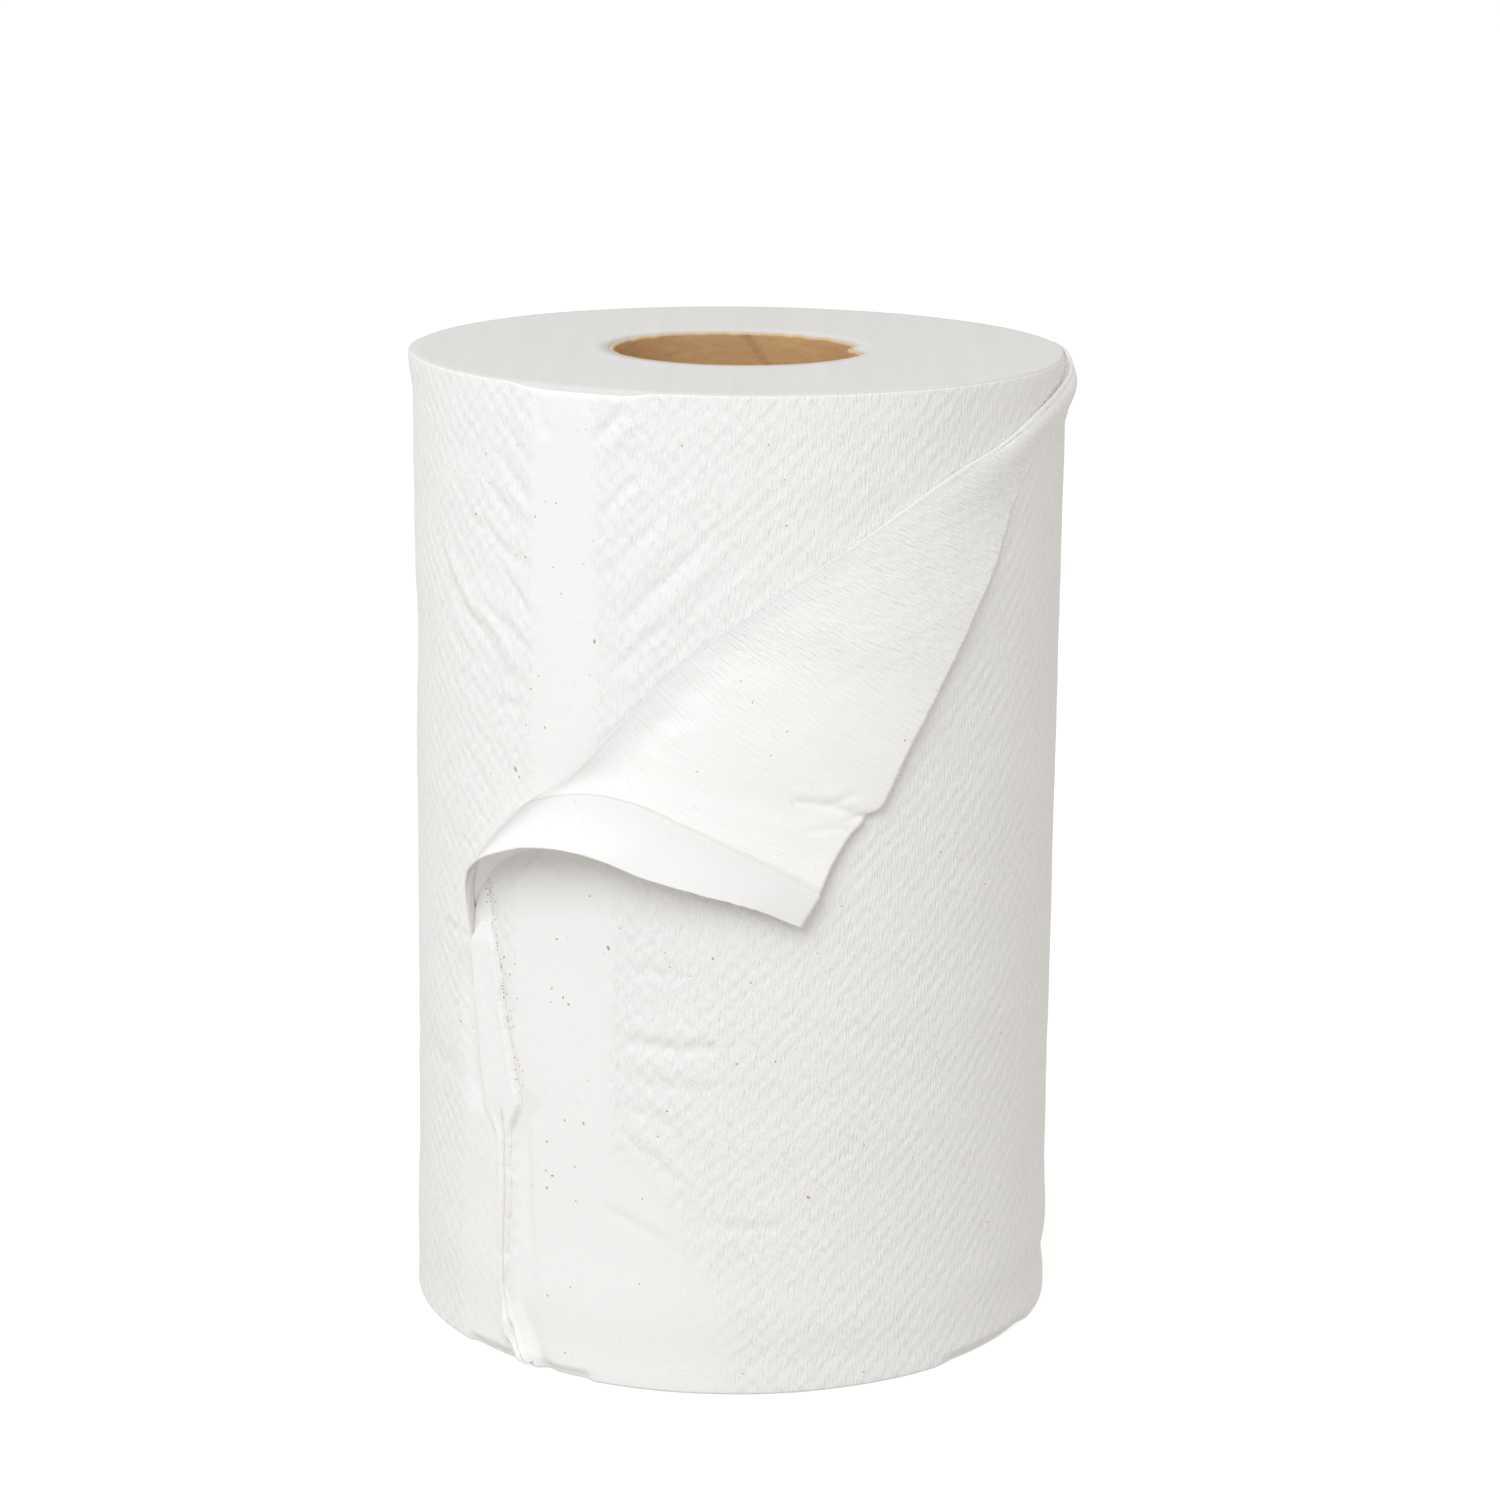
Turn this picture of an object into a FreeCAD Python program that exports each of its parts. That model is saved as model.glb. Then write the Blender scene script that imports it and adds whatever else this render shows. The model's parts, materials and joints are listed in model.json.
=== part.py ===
import FreeCAD, Part
import math
import os

from FreeCAD import Vector

# A hard wound roll of paper towel standing on its end, in millimetres.
# The origin is on the bore's axis at the base, +Z runs up the bore and -Y is the front.
# Angles are measured about the bore in degrees from the front, positive towards +X.
# A drop is a distance down from the top end, and a lift is a distance out from the roll's side.

# Sizes of the roll
roll_height = 200.0
roll_diameter = 133.0
core_bore_diameter = 50.8
core_wall = 1.2
core_nick_angle = 70.0
core_nick_width = 3.2
rim_rounding = 1.0
rim_margin = 0.3

# The outermost turn: it ends in a step at the tail and is peeled off above the fold
turn_thickness = 0.45
tail_angle = -44.6
peel_end_angle = 92.0
peel_bend_angle = 6.0
# Three places on each of the two flat cuts that bound the peeled stretch: angle and drop
lower_peel = [(-50.0, 112.0), (-22.0, 74.0), (6.0, 39.0)]
upper_peel = [(6.0, 39.5), (61.0, 10.4), (91.0, 2.2)]
# How far the cutting tools reach past what they cut
tool_margin = 2.0

# The torn hem glued along the tail: angle, drop and width at each point, from the lift-off down
hem_thickness = 0.7
hem_seat_depth = 0.6
hem_edge = [(-50.8, 117.0, 7.2), (-49.6, 126.0, 6.8), (-48.4, 138.0, 8.0), (-47.4, 147.0, 8.4), (-45.6, 153.0, 3.4),
            (-44.6, 165.0, 4.0), (-44.5, 183.0, 5.6), (-42.4, 190.0, 5.2), (-39.6, 196.0, 3.6)]

# The folded corner. Each station runs from the fold's crest to the flap's free edge:
# crest angle and drop, radius of the curl, edge angle, drop and lift
flap_thickness = 0.5
flap_root_depth = 1.2
flap_root_run = 1.0
flap_stations = [
    (91.0, 0.9, 0.7, 90.0, 4.6, 1.6),
    (71.4, 6.1, 1.1, 73.8, 12.2, 1.5),
    (47.9, 12.3, 1.1, 51.8, 26.5, 1.1),
    (27.0, 22.4, 1.1, 46.5, 41.0, 1.1),
    (3.7, 36.7, 1.4, 38.0, 56.0, 1.1),
    (-18.5, 62.4, 2.4, 27.5, 75.0, 1.3),
    (-36.5, 85.5, 4.0, 17.5, 94.0, 1.9),
]
# The mouth, where the tail edge rides over the curl: lift-off, crest, top of the curl and free corner
tail_lift_off = (-51.5, 115.5)
mouth_crest = (-47.2, 98.5)
mouth_curl_top = (-36.0, 89.6)
mouth_curl_radius = 5.2
mouth_rise_angle = 13.0
mouth_rise = 2.6
flap_corner = (11.8, 103.0)
flap_corner_lift = 1.6

# Both edges of a ruled strip are run the same way
same_direction = 1

# Number of strips that make the curl and the flap, and how much wider each of the flap's strips is than the last
curl_strips = 5
flap_strips = 4
flap_strip_growth = 2.0

roll_radius = roll_diameter / 2
core_bore_radius = core_bore_diameter / 2
core_outer_radius = core_bore_radius + core_wall
under_radius = roll_radius - turn_thickness


def on_roll(angle, drop, lift):
    """The point at an angle, a drop from the top end and a lift from the roll's side."""
    radius = roll_radius + lift
    turn = math.radians(angle)
    return Vector(radius * math.sin(turn), -radius * math.cos(turn), roll_height - drop)


def between(first, last, share):
    """The place that lies a share of the way from the first place to the last."""
    return tuple(a + (b - a) * share for a, b in zip(first, last))


def arc_length(degrees):
    """The length along the roll's side of an angle about its axis."""
    return math.radians(degrees) * roll_radius


def slopes(points):
    """The direction of a smooth curve at each of its points, for one step from point to point."""
    inner = [(after - before) * 0.5 for before, after in zip(points, points[2:])]
    first = points[1] * 2 - points[0] * 1.5 - points[2] * 0.5
    last = points[-1] * 1.5 - points[-2] * 2 + points[-3] * 0.5
    return [first] + inner + [last]


def spline_poles(points):
    """The poles of the cubic curve that runs smoothly through a row of points."""
    poles = [points[0]]
    for point, slope in zip(points, slopes(points)):
        poles += [point - slope / 3, point + slope / 3]
    poles[1:2] = []
    poles[-1] = points[-1]
    return poles


def smooth_edge(points):
    """The smooth cubic edge through a row of points."""
    marks = len(points)
    curve = Part.BSplineCurve()
    curve.buildFromPolesMultsKnots(
        spline_poles(points), [4] + [2] * (marks - 2) + [4], list(range(marks)), False, 3
    )
    return curve.toShape()


def strips_between(edges):
    """A ruled strip between each edge of a row and the next."""
    return [Part.makeRuledSurface(a, b, same_direction) for a, b in zip(edges, edges[1:])]


def sheet_solid(outer_grid, inner_grid):
    """A closed sheet between two grids of points: strips that run smoothly along the fold, and two flat-sided ends."""
    outer_edges = [smooth_edge(column) for column in zip(*outer_grid)]
    inner_edges = [smooth_edge(column) for column in zip(*inner_grid)]
    around = outer_edges + inner_edges[::-1]
    faces = strips_between(around + around[:1])
    for end in (0, -1):
        outer_row, inner_row = outer_grid[end], inner_grid[end]
        for k in range(len(outer_row) - 1):
            outer_line = Part.makeLine(outer_row[k], outer_row[k + 1])
            inner_line = Part.makeLine(inner_row[k], inner_row[k + 1])
            faces += strips_between([outer_line, inner_line])
    skin = Part.makeCompound(faces)
    skin.sewShape()
    solid = Part.makeSolid(skin.Shells[0])
    if solid.Volume < 0:
        solid.reverse()
    return solid


def normals(grid):
    """The direction square to a grid's surface at each of its points, pointing away from the roll at the free edge."""
    rows, columns = len(grid), len(grid[0])
    result = []
    for i in range(rows):
        line = []
        for j in range(columns):
            along = grid[min(i + 1, rows - 1)][j] - grid[max(i - 1, 0)][j]
            across = grid[i][min(j + 1, columns - 1)] - grid[i][max(j - 1, 0)]
            line.append(along.cross(across).normalize())
        result.append(line)
    corner, direction = grid[0][-1], result[0][-1]
    outward = Vector(corner.x, corner.y, 0)
    if direction.dot(outward) < 0:
        result = [[-n for n in line] for line in result]
    return result


def thickened(grid, thickness):
    """The sheet of a thickness whose middle runs through a grid."""
    half = thickness / 2
    directions = normals(grid)
    outer = [[p + n * half for p, n in zip(row, line)] for row, line in zip(grid, directions)]
    inner = [[p - n * half for p, n in zip(row, line)] for row, line in zip(grid, directions)]
    return sheet_solid(outer, inner)


def curl_points_of(crest, leave, top, radius):
    """The half turn of a curl: from where the sheet leaves the roll, round the crest, to the top of the curl."""
    points = []
    for k in range(curl_strips + 1):
        swing = math.pi * (k / curl_strips - 0.5)
        reach = 1 - math.cos(swing)
        foot = between(crest, leave if swing < 0 else top, reach)
        points.append((foot[0], foot[1], radius * (1 + math.sin(swing))))
    return points


def flap_points_of(top, radius, edge, edge_lift, pull):
    """The flap from the top of the curl down to its free edge, as a curve with one control point near each end."""
    start = (top[0], top[1], 2 * radius)
    near = (top[0] + pull[0], top[1] + pull[1], 2 * radius)
    finish = (edge[0], edge[1], edge_lift)
    far_place = between(finish, start, 0.4)
    far = (far_place[0], far_place[1], edge_lift + 0.15 * radius)
    points = []
    total = flap_strip_growth ** flap_strips - 1
    for k in range(1, flap_strips + 1):
        t = (flap_strip_growth ** k - 1) / total
        weights = ((1 - t) ** 3, 3 * t * (1 - t) ** 2, 3 * t * t * (1 - t), t ** 3)
        ends = (start, near, far, finish)
        points.append(tuple(sum(w * p[axis] for w, p in zip(weights, ends)) for axis in range(3)))
    return points


def fold_side(index):
    """The step of angle and drop, for each millimetre, that points from the fold to the flap at a station."""
    before = flap_stations[max(index - 1, 0)]
    after = flap_stations[min(index + 1, len(flap_stations) - 1)]
    along = arc_length(after[0] - before[0])
    down = after[1] - before[1]
    length = math.hypot(along, down)
    return math.degrees(down / length / roll_radius), -along / length


def flap_row(index):
    """One line of the flap's grid, from its root in the roll to its free edge."""
    angle, drop, radius, edge_angle, edge_drop, edge_lift = flap_stations[index]
    side = fold_side(index)
    foot = (angle + side[0] * radius, drop + side[1] * radius)
    root = (foot[0] + side[0] * flap_root_run, foot[1] + side[1] * flap_root_run, -flap_root_depth)
    pull = (side[0] * radius, side[1] * radius)
    curl = curl_points_of((angle, drop), foot, foot, radius)
    return [root] + curl + flap_points_of(foot, radius, (edge_angle, edge_drop), edge_lift, pull)


def mouth_row():
    """The last line of the flap's grid: the tail edge, over the open end of the curl."""
    root = (tail_lift_off[0] + 0.6, tail_lift_off[1] + 1.5, -flap_root_depth)
    curl = curl_points_of(mouth_crest, tail_lift_off, mouth_curl_top, mouth_curl_radius)
    pull = (mouth_rise_angle, -mouth_rise)
    return [root] + curl + flap_points_of(mouth_curl_top, mouth_curl_radius, flap_corner, flap_corner_lift, pull)


def folded_corner():
    """The top corner of the sheet, folded back over a curl that opens towards the tail."""
    rows = [flap_row(index) for index in range(len(flap_stations))]
    rows.append(mouth_row())
    grid = [[on_roll(*place) for place in row] for row in rows]
    return thickened(grid, flap_thickness)


def round_about(angle, radius, centre):
    """The point at an angle and a radius about a centre, at the base."""
    turn = math.radians(angle)
    return centre + Vector(radius * math.sin(turn), -radius * math.cos(turn), 0)


def turn_outline():
    """The roll's outline seen from above: one turn of a two-centre spiral that ends in the tail's step."""
    axis = Vector(0, 0, 0)
    far_radius = roll_radius - turn_thickness / 2
    far_centre = round_about(tail_angle + 180, turn_thickness / 2, axis)
    start = round_about(tail_angle, roll_radius, axis)
    half = round_about(tail_angle + 180, roll_radius, axis)
    end = round_about(tail_angle, under_radius, axis)
    near_arc = Part.Arc(start, round_about(tail_angle + 90, roll_radius, axis), half)
    far_arc = Part.Arc(half, round_about(tail_angle + 270, far_radius, far_centre), end)
    step = Part.LineSegment(end, start)
    return Part.Wire([near_arc.toShape(), far_arc.toShape(), step.toShape()])


def rim_envelope():
    """A drum with rounded rims, a little wider than the roll, that softens its outer corners."""
    drum = Part.makeCylinder(roll_radius + rim_margin, roll_height)
    rims = [edge for edge in drum.Edges if edge.Closed and len(edge.Vertexes) == 1]
    return drum.makeFillet(rim_rounding, rims)


def ring_sector(inner_radius, outer_radius, from_angle, to_angle):
    """A piece of a ring about the axis between two angles, reaching past both ends of the roll."""
    tall = roll_height + 2 * tool_margin
    low = Vector(0, 0, -tool_margin)
    up = Vector(0, 0, 1)
    sweep = to_angle - from_angle
    outer = Part.makeCylinder(outer_radius, tall, low, up, sweep)
    inner = Part.makeCylinder(inner_radius, tall, low, up, 360)
    ring = outer.cut(inner)
    ring.rotate(Vector(0, 0, 0), up, from_angle - 90)
    return ring


def above_cut(places):
    """A block over the flat cut that runs through three places on the roll's side."""
    first, second, third = [on_roll(angle, drop, 0) for angle, drop in places]
    middle = (first + second + third) / 3
    upward = (second - first).cross(third - first).normalize()
    if upward.z < 0:
        upward = -upward
    reach = 2 * (roll_height + roll_diameter)
    block = Part.makeBox(reach, reach, reach, Vector(-reach / 2, -reach / 2, 0))
    block.Placement = FreeCAD.Placement(middle, FreeCAD.Rotation(Vector(0, 0, 1), upward))
    return block


def peeled_stretch():
    """The space that the folded corner leaves: one turn deep, above the two cuts under the fold."""
    outside = roll_radius + tool_margin
    lower = ring_sector(under_radius, outside, tail_angle, peel_bend_angle)
    lower = lower.common(above_cut(lower_peel))
    upper = ring_sector(under_radius, outside, peel_bend_angle, peel_end_angle)
    upper = upper.common(above_cut(upper_peel))
    return lower, upper


def torn_hem():
    """The narrow hem along the tail edge, cut from a ring by an upright outline."""
    facing = hem_edge[len(hem_edge) // 2][0]
    left, right = [], []
    for angle, drop, width in hem_edge:
        left.append(Vector(roll_radius * math.sin(math.radians(angle - facing)), 0, roll_height - drop))
        far = math.radians(angle - facing) + width / roll_radius
        right.append(Vector(roll_radius * math.sin(far), 0, roll_height - drop))
    outline = left + right[::-1]
    outline = Part.Face(Part.makePolygon(outline + outline[:1]))
    block = outline.extrude(Vector(0, -roll_diameter, 0))
    block.rotate(Vector(0, 0, 0), Vector(0, 0, 1), facing)
    ring = Part.makeCylinder(roll_radius + hem_thickness, roll_height)
    ring = ring.cut(Part.makeCylinder(roll_radius - hem_seat_depth, roll_height))
    return ring.common(block)


def wound_turns():
    """The wound turns with the step of the tail, the peeled stretch and the space for the core."""
    turns = Part.Face(turn_outline()).extrude(Vector(0, 0, roll_height))
    turns = turns.common(rim_envelope())
    turns = turns.cut(Part.makeCylinder(core_outer_radius, roll_height))
    for stretch in peeled_stretch():
        turns = turns.cut(stretch)
    return turns


def paper_roll():
    """All the turns of paper with their tail, hem and folded corner, as one solid."""
    return wound_turns().fuse(torn_hem()).fuse(folded_corner())


def core():
    """The cardboard tube that the paper is wound on, with a torn nick in its top rim."""
    tube = Part.makeCylinder(core_outer_radius, roll_height)
    bore = Part.makeCylinder(core_bore_radius, roll_height)
    tube = tube.cut(bore)
    nick = Part.makeCylinder(core_nick_width / 2, 4 * core_wall)
    nick.rotate(Vector(0, 0, 0), Vector(0, 1, 0), 90)
    nick.translate(Vector(core_bore_radius - core_wall, 0, roll_height))
    nick.rotate(Vector(0, 0, 0), Vector(0, 0, 1), core_nick_angle - 90)
    return tube.cut(nick)


def main():
    os.makedirs("parts", exist_ok=True)
    for name, make in (("core", core), ("paper_roll", paper_roll)):
        shape = make()
        print(name, "solids", len(shape.Solids), "valid", shape.isValid(), "volume", round(shape.Volume, 1))
        shape.Solids[0].exportStep("parts/" + name + ".step")


main()
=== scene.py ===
import json
import math

import bpy
import numpy as np
from mathutils import Matrix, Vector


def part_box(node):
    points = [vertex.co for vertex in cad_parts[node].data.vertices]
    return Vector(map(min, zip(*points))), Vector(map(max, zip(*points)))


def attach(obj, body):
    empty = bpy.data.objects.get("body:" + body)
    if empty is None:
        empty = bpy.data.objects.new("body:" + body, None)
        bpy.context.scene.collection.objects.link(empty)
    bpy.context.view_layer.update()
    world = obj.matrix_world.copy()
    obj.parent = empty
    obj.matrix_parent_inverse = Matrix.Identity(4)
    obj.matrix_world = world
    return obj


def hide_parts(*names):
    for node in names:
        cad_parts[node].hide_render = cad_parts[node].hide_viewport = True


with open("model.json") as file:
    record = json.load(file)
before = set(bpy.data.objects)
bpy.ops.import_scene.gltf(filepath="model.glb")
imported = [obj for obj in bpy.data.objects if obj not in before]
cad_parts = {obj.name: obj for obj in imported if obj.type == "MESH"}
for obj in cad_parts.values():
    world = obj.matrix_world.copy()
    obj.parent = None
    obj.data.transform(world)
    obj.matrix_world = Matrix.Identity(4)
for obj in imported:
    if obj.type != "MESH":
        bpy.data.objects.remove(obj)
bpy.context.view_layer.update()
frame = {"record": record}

bl_info = {
    "name": "Paper towel roll",
    "version": (1, 0, 0),
    "blender": (4, 5, 0),
    "location": "3D View > Sidebar > Towel Roll",
    "description": "Builds a hard wound roll of white paper towel with its top corner folded back",
    "category": "Add Mesh",
}

CORE_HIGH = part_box("core")[1]
CORE_BORE = next(mount for mount in frame["record"]["mounts"] if mount["name"] == "core_bore")

# Blender works in metres; places on the paper are written in millimetres and turned to metres by MM.
# A place on the roll's side is its distance round from the front, positive towards +X, and its height.
MM = 0.001
BLACK = (0.0, 0.0, 0.0, 1.0)
WHITE = (1.0, 1.0, 1.0, 1.0)

# The turns' mesh: stretches of angles with their numbers of columns, and the rows of its parts
TURN_COLUMNS = [(-180, -72, 45), (-72, 28, 185), (28, 100, 52), (100, 180, 33)]
SIDE_ROWS = 262
RIM_ROWS = 6
FACE_ROWS = 13
BORE_ROWS = 5

# The angle at which the outer turn ends, and the one behind which it isn't peeled off
TAIL_ANGLE = -44.6
PEEL_END_ANGLE = 92.0
# Angle and height of the line under the fold, above which the outer turn is peeled off
PEEL_LINE = [(-50, 88), (-36, 107.5), (-22, 126), (6, 160.8), (34, 176), (61, 189.6), (91, 197.8)]
# Swellings of the side: how far out, place and reach round, and place and reach up; endless ones run all round
SWELLINGS = [(-0.7, -103, 14, 141, 11), (0.5, 0, math.inf, 15, 10), (0.45, 0, math.inf, 0, 6),
             (0.15, 103, 14, 20, 8), (-0.8, 96, 12, 9.5, 3.2)]
# Stretches of angles where the lower rim is drawn in, and how soft their ends are
RAISED_FOOT = [(-53, -37, 2.5), (-35, -25, 2.5), (41, 66, 5.0)]

# The hem's two edges as height and distance round, from the lift-off down to the base
HEM_LEFT = [(91, -57.0), (87, -59.3), (84.5, -60.0), (80, -59.2), (72, -58.2), (66, -57.6), (58, -56.6),
            (52, -55.4), (50, -53.8), (48, -52.5), (42, -52.1), (30, -51.9), (20, -52.1), (14, -51.3),
            (10, -50.4), (6, -49.6), (1.2, -46.2)]
HEM_RIGHT = [(91, -54.4), (87, -53.0), (84.5, -52.3), (80, -51.3), (75, -50.5), (70, -49.5), (67, -48.6),
             (62, -47.6), (58, -46.4), (55, -45.9), (53, -46.6), (50, -47.7), (46, -48.3), (35, -48.3),
             (24, -48.9), (14, -48.6), (10, -47.2), (5, -44.9), (1.2, -42.6)]
HEM_STEPS = 420
HEM_COLUMNS = 40
HEM_TOP = 92
# Below this height the hem is gathered along a groove, which lies at this share of its width
HEM_GATHERED = 54
HEM_GROOVE = 0.62
# The lift across the hem, as shares of its width and of its lift, above that height and below it
WIDE_HEM = [0, 0.05, 0.14, 0.5, 0.8, 0.95, 1], [0.1, 0.8, 1.05, 0.8, 0.7, 0.75, 0.1]
GATHERED_HEM = [0, 0.1, 0.3, 0.52, 0.62, 0.7, 0.86, 1], [0.1, 0.7, 1.0, 0.55, 0.12, 0.6, 1.0, 0.2]
# What a point's distance to the hem's line is called where it has none nearby
FAR_FROM_HEM = 99.0

# The folded corner's lines across the fold, from its tight end to the hem: the crest's angle, height and lift,
# the lift of the bulge behind it, how far the sheet's underside leaves the roll from the crest in degrees and
# millimetres, and the angle, height and lift of the free edge
FOLD_LINES = [
    ((103.0, 199.5, 0.2), 0.5, (1.0, 1.2), (102.0, 197.6, 0.15)),
    ((97.0, 199.3, 0.5), 1.3, (1.0, 1.2), (95.0, 192.5, 0.1)),
    ((86.0, 197.4, 0.9), 2.8, (1.0, 1.2), (84.0, 187.9, -0.05)),
    ((72.7, 195.3, 0.7), 2.5, (1.0, 1.2), (74.0, 186.6, -0.15)),
    ((62.2, 192.1, 0.15), 1.6, (1.0, 1.2), (63.0, 184.6, -0.2)),
    ((49.2, 187.0, 0.1), 1.1, (1.0, 1.2), (57.0, 179.6, -0.15)),
    ((40.8, 184.0, 0.1), 1.0, (1.0, 1.2), (53.2, 174.5, 0.1)),
    ((20.3, 171.5, 0.1), 0.9, (1.2, 1.4), (49.6, 166.5, 0.55)),
    ((4.4, 159.9, 0.15), 1.0, (1.5, 1.8), (43.0, 155.0, 1.1)),
    ((-9.4, 147.7, 0.4), 1.3, (2.5, 3.0), (35.2, 140.8, 1.4)),
    ((-17.3, 138.0, 1.5), 1.8, (4.5, 5.0), (28.4, 128.2, 1.7)),
    ((-20.9, 133.4, 2.2), 2.0, (6.0, 7.0), (24.4, 119.3, 1.6)),
    ((-25.0, 127.6, 3.4), 2.4, (8.0, 9.0), (19.9, 115.4, 1.5)),
]
# The hem's own line, up the lifting sheet, over the crest and along the corner, and the tail edge in the same way:
# angle, height and lift
HEM_RISE = [(-51.4, 93.0, -0.35), (-50.8, 96.0, 0.5), (-49.2, 100.0, 1.7), (-46.6, 105.0, 3.0), (-42.8, 110.5, 4.2),
            (-38.2, 115.6, 5.0), (-33.6, 119.4, 5.2)]
HEM_FALL = [(-33.6, 119.4, 5.2), (-28.4, 121.4, 4.6), (-23.0, 122.2, 3.8), (-16.0, 121.0, 3.1), (-7.8, 117.0, 2.7),
            (0.9, 112.1, 2.4), (7.6, 108.0, 2.2), (13.4, 103.8, 2.1)]
TAIL_RISE = [(-51.9, 84.0, -0.35), (-51.6, 88.0, 0.5), (-51.1, 91.5, 1.5), (-50.2, 95.2, 2.7), (-48.7, 98.9, 4.2),
             (-46.3, 102.7, 6.0)]
TAIL_FALL = [(-46.3, 102.7, 6.0), (-42.8, 106.0, 8.0), (-37.4, 109.3, 9.6), (-31.5, 111.9, 10.6), (-25.2, 112.2, 10.0),
             (-20.3, 110.9, 8.8), (-14.1, 107.8, 7.2), (-5.0, 104.4, 5.4), (4.0, 100.9, 3.8), (9.9, 97.5, 2.6)]
# The fold's direction in degrees, the crest's radius, how far the sheet sinks into the roll at its root,
# and within which distance of the crest the bulge rises
FOLD_DIRECTION = 29.5
CREST_RADIUS = 0.3
ROOT_LIFT = -0.35
BULGE_REACH = 2.8
# Steps from each line to the next, and the points of a line up to the crest, round it and down
FOLD_STEPS = [12, 14, 14, 14, 18, 16, 30, 26, 26, 18, 12, 14, 26, 56]
RISE_STEPS = 22
CREST_STEPS = 8
FALL_STEPS = 92

# The core's mesh, and the slope of its seam in degrees
CORE_COLUMNS = 240
CORE_ROWS = 130
CORE_RIM_ROWS = 5
SEAM_ANGLE = 54

# How much wider the creases are built than their half widths say
CREASE_SPREAD = 1.2
# Creases: places along the line, half width, depth, and the swelling on its left as it is drawn
LEFT_CREASES = [
    ([(-75.5, 168.5), (-70, 161), (-66, 157), (-61.5, 152.6), (-56, 150), (-52, 146), (-49, 142.4), (-44.5, 139)],
     1.1, 0.30, 0.34),
    ([(-60, 156.5), (-55, 154.5), (-50, 152.3), (-46, 149.5), (-43, 146.5)], 0.9, 0.26, 0.12),
    ([(-58.5, 172.8), (-54.5, 170), (-51, 167.3), (-46.5, 165.3), (-43.5, 163)], 0.9, 0.24, 0.14),
    ([(-51.5, 188), (-48, 182.5), (-45, 179.5), (-42, 176)], 0.9, 0.26, 0.12),
    ([(-56, 181), (-50.5, 176.5), (-47, 174), (-44, 171.3)], 0.9, 0.20, 0.12),
    ([(-68.6, 167.7), (-64.5, 163), (-61, 159), (-57, 157.5)], 0.9, 0.16, 0.08),
    ([(-51.5, 164), (-47, 159.5), (-44.5, 156.5), (-42.3, 153.6)], 1.0, 0.22, 0.16),
    ([(-65, 141), (-60, 138.4), (-57, 136.8)], 0.9, 0.14, 0.08),
    ([(-53, 137.6), (-50, 136.2), (-47, 136.6), (-45, 135.4)], 0.8, 0.20, 0.10),
    ([(-41.9, 199), (-40.6, 194), (-38.3, 189.3)], 1.1, 0.30, 0.06),
    ([(-45.0, 197.5), (-43.6, 193.5), (-42.3, 190.2)], 0.7, 0.16, 0.06),
    ([(-48.5, 193), (-46.5, 188.5), (-44, 184)], 0.9, 0.14, 0.12),
    ([(-66, 180), (-61, 173.5), (-57, 168)], 1.0, 0.12, 0.06),
    ([(-72, 153), (-66, 147), (-60, 143.5)], 1.0, 0.14, 0.08),
    ([(-58, 147), (-53, 142.5), (-49.5, 140)], 0.8, 0.12, 0.06),
    ([(-64, 126), (-58, 121), (-54, 117)], 1.0, 0.12, 0.05),
]
RIGHT_CREASES = [
    ([(-21.4, 196.8), (-24.5, 193.5), (-28.7, 189.1)], 0.9, 0.42, 0.16),
    ([(-19, 184.3), (-22.5, 180.8), (-25, 177.5), (-26.9, 174.2)], 0.9, 0.26, 0.14),
    ([(-11.5, 178.8), (-17, 174), (-20.5, 169), (-23.5, 165), (-25.5, 161.8)], 1.1, 0.22, 0.16),
    ([(-4, 174.4), (-9, 168.7), (-13, 164.6), (-17.5, 160.2), (-20.5, 156.8), (-24, 154.1)], 1.2, 0.34, 0.22),
    ([(-12, 157.4), (-17, 152.5), (-21, 148), (-25.3, 143.7)], 1.1, 0.18, 0.10),
    ([(4, 171), (-1, 166.5), (-6, 161.5), (-10, 157.5)], 1.3, 0.14, 0.08),
    ([(-8.5, 184.5), (-13.5, 180.5), (-18, 176.5)], 1.2, 0.12, 0.08),
    ([(-29.9, 199.4), (-29.6, 196.8), (-28.2, 194.8)], 0.5, 0.22, 0.05),
    ([(-27.5, 136), (-22, 141.5), (-18, 144)], 1.2, 0.10, 0.06),
]
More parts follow.
